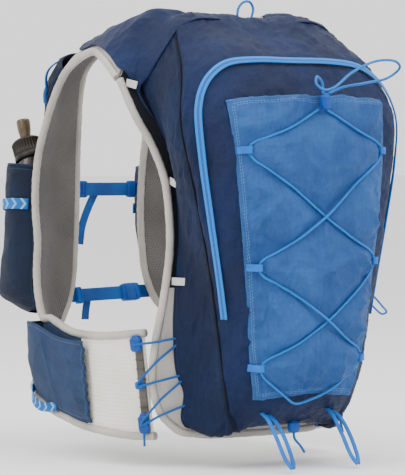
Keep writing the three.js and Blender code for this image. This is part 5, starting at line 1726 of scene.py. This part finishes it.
# The cap's skirt as shares of its radius and metres up, then its top as shares of both sizes
SKIRT = [(0.99, -CAP_SKIRT), (1.03, -0.004), (1.03, 0), (1, 0.001), (1, 0.0022), (1, 0.0024), (1, 0.008)]
CAP_TOP = [(1, 0.78), (1, 0.8), (0.985, 0.84), (0.93, 0.9), (0.84, 0.96), (0.7, 1), (0.46, 1), (0.44, 1)]
cap_profile = [(NECK_RADIUS + CLEARANCE, -CAP_SKIRT)]
cap_profile += [(CAP_RADIUS * a, b) for a, b in SKIRT]
cap_profile += [(CAP_RADIUS * a, CAP_HEIGHT * b) for a, b in CAP_TOP]
cap_piece = turned("flask_cap_turned", cap, cap_profile, "brown_plastic", 160, RIB_COUNT, RIB_DEPTH,
                   (RIB_START, CAP_HEIGHT * RIB_STOP))
stands_for(cap_piece, "flask_cap")
valve = cap.leaning(0, 0, CAP_HEIGHT + CLEARANCE, -VALVE_LEAN)
# Shares of the valve's radius and length
VALVE = [(0.84, 0), (0.87, 0.12), (0.92, 0.25), (0.98, 0.36), (1.03, 0.47), (1.07, 0.62), (1.1, 0.8),
         (1.1, 0.92), (1.05, 0.99), (0.6, 1.0), (0.3, 1.0)]
fine = spline([[a, b, 0] for a, b in VALVE], np.linspace(0, 1, 60))
valve_profile = [(a * VALVE_RADIUS, b * VALVE_LENGTH + CAP_GAP) for a, b, _ in fine]
valve_piece = turned("flask_valve_turned", valve, valve_profile, "amber_rubber", 64)
stands_for(valve_piece, "flask_valve")
print("flask neck at", [round(float(v), 3) for v in neck.origin])

# %% [markdown]
# ## Sternum straps
# Two blue webbings cross the chest. The upper one has a ladder adjuster with a hanging tail, the
# lower one a side-release buckle. Fastened buckles stay as the photograph shows them.

# %% Sternum straps
UPPER_V, LOWER_V_LEFT, LOWER_V_RIGHT = 0.7, 0.925, 0.915
STERNUM_END, STERNUM_EDGE, STERNUM_LIFT, STERNUM_BOW = 0.045, 0.02, 0.0067, 0.0015
WEBBING_WIDTH = 0.015
RIDGE_SPREAD, RIDGE_SIZE = 0.55, (0.16, 1.25, 0.86)
TAIL_GAP, TAIL_SHARE, SLOPE_REACH = 0.001, 0.66, 0.03


def on_chest(side, u, v, height):
    return left_harness.lift(u, v, PADDING + height) * [side, 1, 1]


def between(left, right, t, forward):
    """A place on the way from left to right, moved forward."""
    return mix(left, right, t) - [0, forward, 0]


def sternum(name, left_v, right_v, tail_at, tail_length, tail_lean):
    """One webbing across the chest with its hanging tail; gives its ends and its upright."""
    left = on_chest(1, STERNUM_EDGE, left_v, STERNUM_LIFT)
    right = on_chest(-1, STERNUM_EDGE, right_v, STERNUM_LIFT)
    seated = CLEARANCE + SEAT / 2 + WEBBING_THICKNESS / 2
    line = [on_chest(1, STERNUM_END, left_v, seated), left]
    line += [between(left, right, t, STERNUM_BOW) for t in (0.08, 0.35, 0.65, 0.92)]
    line += [right, on_chest(-1, STERNUM_END, right_v, seated)]
    slope = left_harness.at(0.1, left_v - SLOPE_REACH) - left_harness.at(0.1, left_v + SLOPE_REACH)
    upright = unit(slope * [0, 1, 1])
    tape(f"{name}_strap", f"{name}_strap", resample(line, 160), WEBBING_WIDTH, WEBBING_THICKNESS,
         "blue_webbing", upright)
    top = between(left, right, tail_at, STERNUM_BOW + WEBBING_THICKNESS + TAIL_GAP)
    tail = []
    for t in (0, 0.33, 0.66, 1):
        tail.append(top + [math.sin(t * math.pi / 2) * tail_lean, -0.002 * t, -t * tail_length])
    tape(f"{name}_tail", f"{name}_tail", resample(tail, 60), WEBBING_WIDTH * TAIL_SHARE, WEBBING_THICKNESS,
         "blue_webbing", ACROSS)
    return left, right, upright


def sleeve(node, ends, t, length, height, thickness, ridges):
    """A moulded sleeve on the webbing, with ridges across it."""
    left, right, upright = ends
    along = unit(right - left)
    up = unit(upright - along * np.dot(upright, along))
    origin = between(left, right, t, STERNUM_BOW)
    stand_axes = axes(along, up)
    size = np.array([length, thickness, height])
    parts = [pebble(f"{node}_body", origin, stand_axes, size, "blue_plastic", 0.3)]
    for k in range(ridges):
        off = (k - (ridges - 1) / 2) * length * RIDGE_SPREAD / max(ridges - 1, 1)
        parts.append(pebble(f"{node}_ridge_{k}", origin + off * stand_axes[0], stand_axes,
                            size * RIDGE_SIZE, "blue_plastic", 0.4))
    stands_for(joined(f"{node}_moulded", parts), node)


upper = sternum("upper_sternum", UPPER_V, UPPER_V, 0.42, 0.062, 0.022)
lower = sternum("lower_sternum", LOWER_V_LEFT, LOWER_V_RIGHT, 0.32, 0.028, 0.003)
sleeve("upper_sternum_adjuster", upper, 0.19, 0.015, 0.019, 0.006, 3)
sleeve("upper_sternum_slider", upper, 0.87, 0.011, 0.019, 0.006, 2)
sleeve("lower_sternum_slider", lower, 0.2, 0.009, 0.019, 0.006, 2)
sleeve("lower_sternum_buckle", lower, 0.76, 0.024, 0.02, 0.009, 2)
print("sternum straps ready")

# %% [markdown]
# ## Under the pack
# A small lock ties the bungee off under the pack, and two flat loops carry folded poles.

# %% Bottom lock, pole loops and tabs
TIE_X, TIE_DOWN = -0.1, 0.96
POLE_X, POLE_DOWN, POLE_SPREAD = 0.3, 0.925, 0.005
POLE_WEBBING_WIDTH, POLE_WEBBING_THICKNESS, POLE_STEP = 0.005, 0.002, 0.006
BOTTOM_LOCK_SIZE = (0.013, 0.008, 0.012)
BOTTOM_TAIL = [[0, 0, -0.004], [0.001, 0.003, -0.012], [-0.006, 0.004, -0.02], [-0.012, 0.003, -0.027]]
# Share down the back panel, share down the vest, and how much of the gap is bridged
EDGE_TABS = [(0.03, 0.185, 0.35), (0.32, 0.4, 1), (0.56, 0.628, 1)]
EDGE_TAB_WIDTH, EDGE_TAB_THICKNESS, EDGE_TAB_SIDE = 0.008, 0.0014, 0.08
EDGE_TAB_FROM, EDGE_TAB_TO, EDGE_TAB_BOW = 0.001, 0.0012, [0.001, 0.001, 0]
# Places in millimetres from the loop's middle: to the left, back and up
POLE_LOOP = [
    [6, 12, -7],
    [6, 26, -24],
    [3, 38, -46],
    [-2, 42, -54],
    [-6, 38, -50],
    [-6, 26, -28],
    [-5, 11, -10],
]
tie_at = on_pack(TIE_X, TIE_DOWN, SEAT + LOCK_SIZE[1] / 2 + 0.002)
spring_lock("bottom", "bottom_cord_lock", tie_at, lock_axes, BOTTOM_LOCK_SIZE)
tail = resample(tie_at + np.array(BOTTOM_TAIL), 40)
trim(swept("bottom_tail", tail, circle(BUNGEE_RADIUS, 12), "cyan_cord"))


def pole_foot(side, x, down):
    """Where a pole loop leaves the pack, x metres to the left of its middle."""
    return on_pack(side * POLE_X + x / HALF_WIDTH, down, 2 * CLEARANCE + POLE_WEBBING_THICKNESS / 4)


for word, side in SIDES:
    middle = pole_foot(side, 0, POLE_DOWN)
    hanging = [middle + np.array(p) / 1000 for p in POLE_LOOP]
    line = [pole_foot(side, POLE_SPREAD, POLE_DOWN), *hanging]
    line.append(pole_foot(side, -POLE_SPREAD, POLE_DOWN + POLE_STEP))
    tape(f"pole_loop_{word}", f"pole_loop_{word}", resample(line, 120), POLE_WEBBING_WIDTH,
         POLE_WEBBING_THICKNESS, "pale_blue_webbing", ACROSS)
# Pale tabs bridge the gap between the back panel's edge and the pack
for number, (v, down, reach) in enumerate(EDGE_TABS):
    steps = np.linspace(0.02, 0.98, 300)
    on_side = np.interp(down * VEST_HEIGHT, -pack.at(EDGE_TAB_SIDE, steps)[:, 2], steps)
    for word, side in SIDES:
        a = back_panel.lift(0.01, v, PADDING + EDGE_TAB_FROM)
        b = mix(a, pack.lift(EDGE_TAB_SIDE, on_side, FABRIC + EDGE_TAB_TO), reach)
        line = resample(np.array([a, mix(a, b, 0.5) + EDGE_TAB_BOW, b]), 16) * [side, 1, 1]
        tape(f"edge_tab_{word}_{number}", None, line, EDGE_TAB_WIDTH, EDGE_TAB_THICKNESS, "pale_webbing", UP)
print("bottom and tabs ready")

# %% [markdown]
# ## Floor and light
# The photograph is lit softly from all round on white, so a pale floor lies just under the
# vest and large soft lights stand at the camera's sides.

# %% Floor and light
FLOOR_GAP, FLOOR_REACH = 0.004, 60.0
WORLD_STRENGTH = 1.5
# Azimuth, elevation, distance, size and power
LIGHTS = [(90, 40, 2.2, 1.4, 26), (200, 55, 2.4, 1.6, 34), (144, 80, 2.4, 1.4, 20)]
floor_mesh = bpy.data.meshes.new("floor")
corners = [(-1, -1), (1, -1), (1, 1), (-1, 1)]
level = cad_low[2] - FLOOR_GAP
floor_mesh.from_pydata([(x * FLOOR_REACH, y * FLOOR_REACH, level) for x, y in corners], [], [(0, 1, 2, 3)])
floor = bpy.data.objects.new("floor", floor_mesh)
bpy.context.scene.collection.objects.link(floor)
Look("floor_white", Base_Color=(0.86, 0.86, 0.86, 1), Roughness=0.9)
floor_mesh.materials.append(looks["floor_white"])

world = bpy.data.worlds.new("studio")
world.use_nodes = True
world.node_tree.nodes["Background"].inputs["Color"].default_value = (1, 1, 1, 1)
world.node_tree.nodes["Background"].inputs["Strength"].default_value = WORLD_STRENGTH
bpy.context.scene.world = world

for number, (azimuth, elevation, distance, size, power) in enumerate(LIGHTS):
    a, e = math.radians(azimuth), math.radians(elevation)
    away = Vector((math.sin(a) * math.cos(e), -math.cos(a) * math.cos(e), math.sin(e)))
    light = bpy.data.objects.new(f"light_{number}", bpy.data.lights.new(f"light_{number}", "AREA"))
    light.data.size = size
    light.data.energy = power
    light.location = VIEW_TARGET + away * distance
    light.rotation_mode = "QUATERNION"
    light.rotation_quaternion = away.to_track_quat("Z", "Y")
    bpy.context.scene.collection.objects.link(light)
print("lights:", len(LIGHTS))
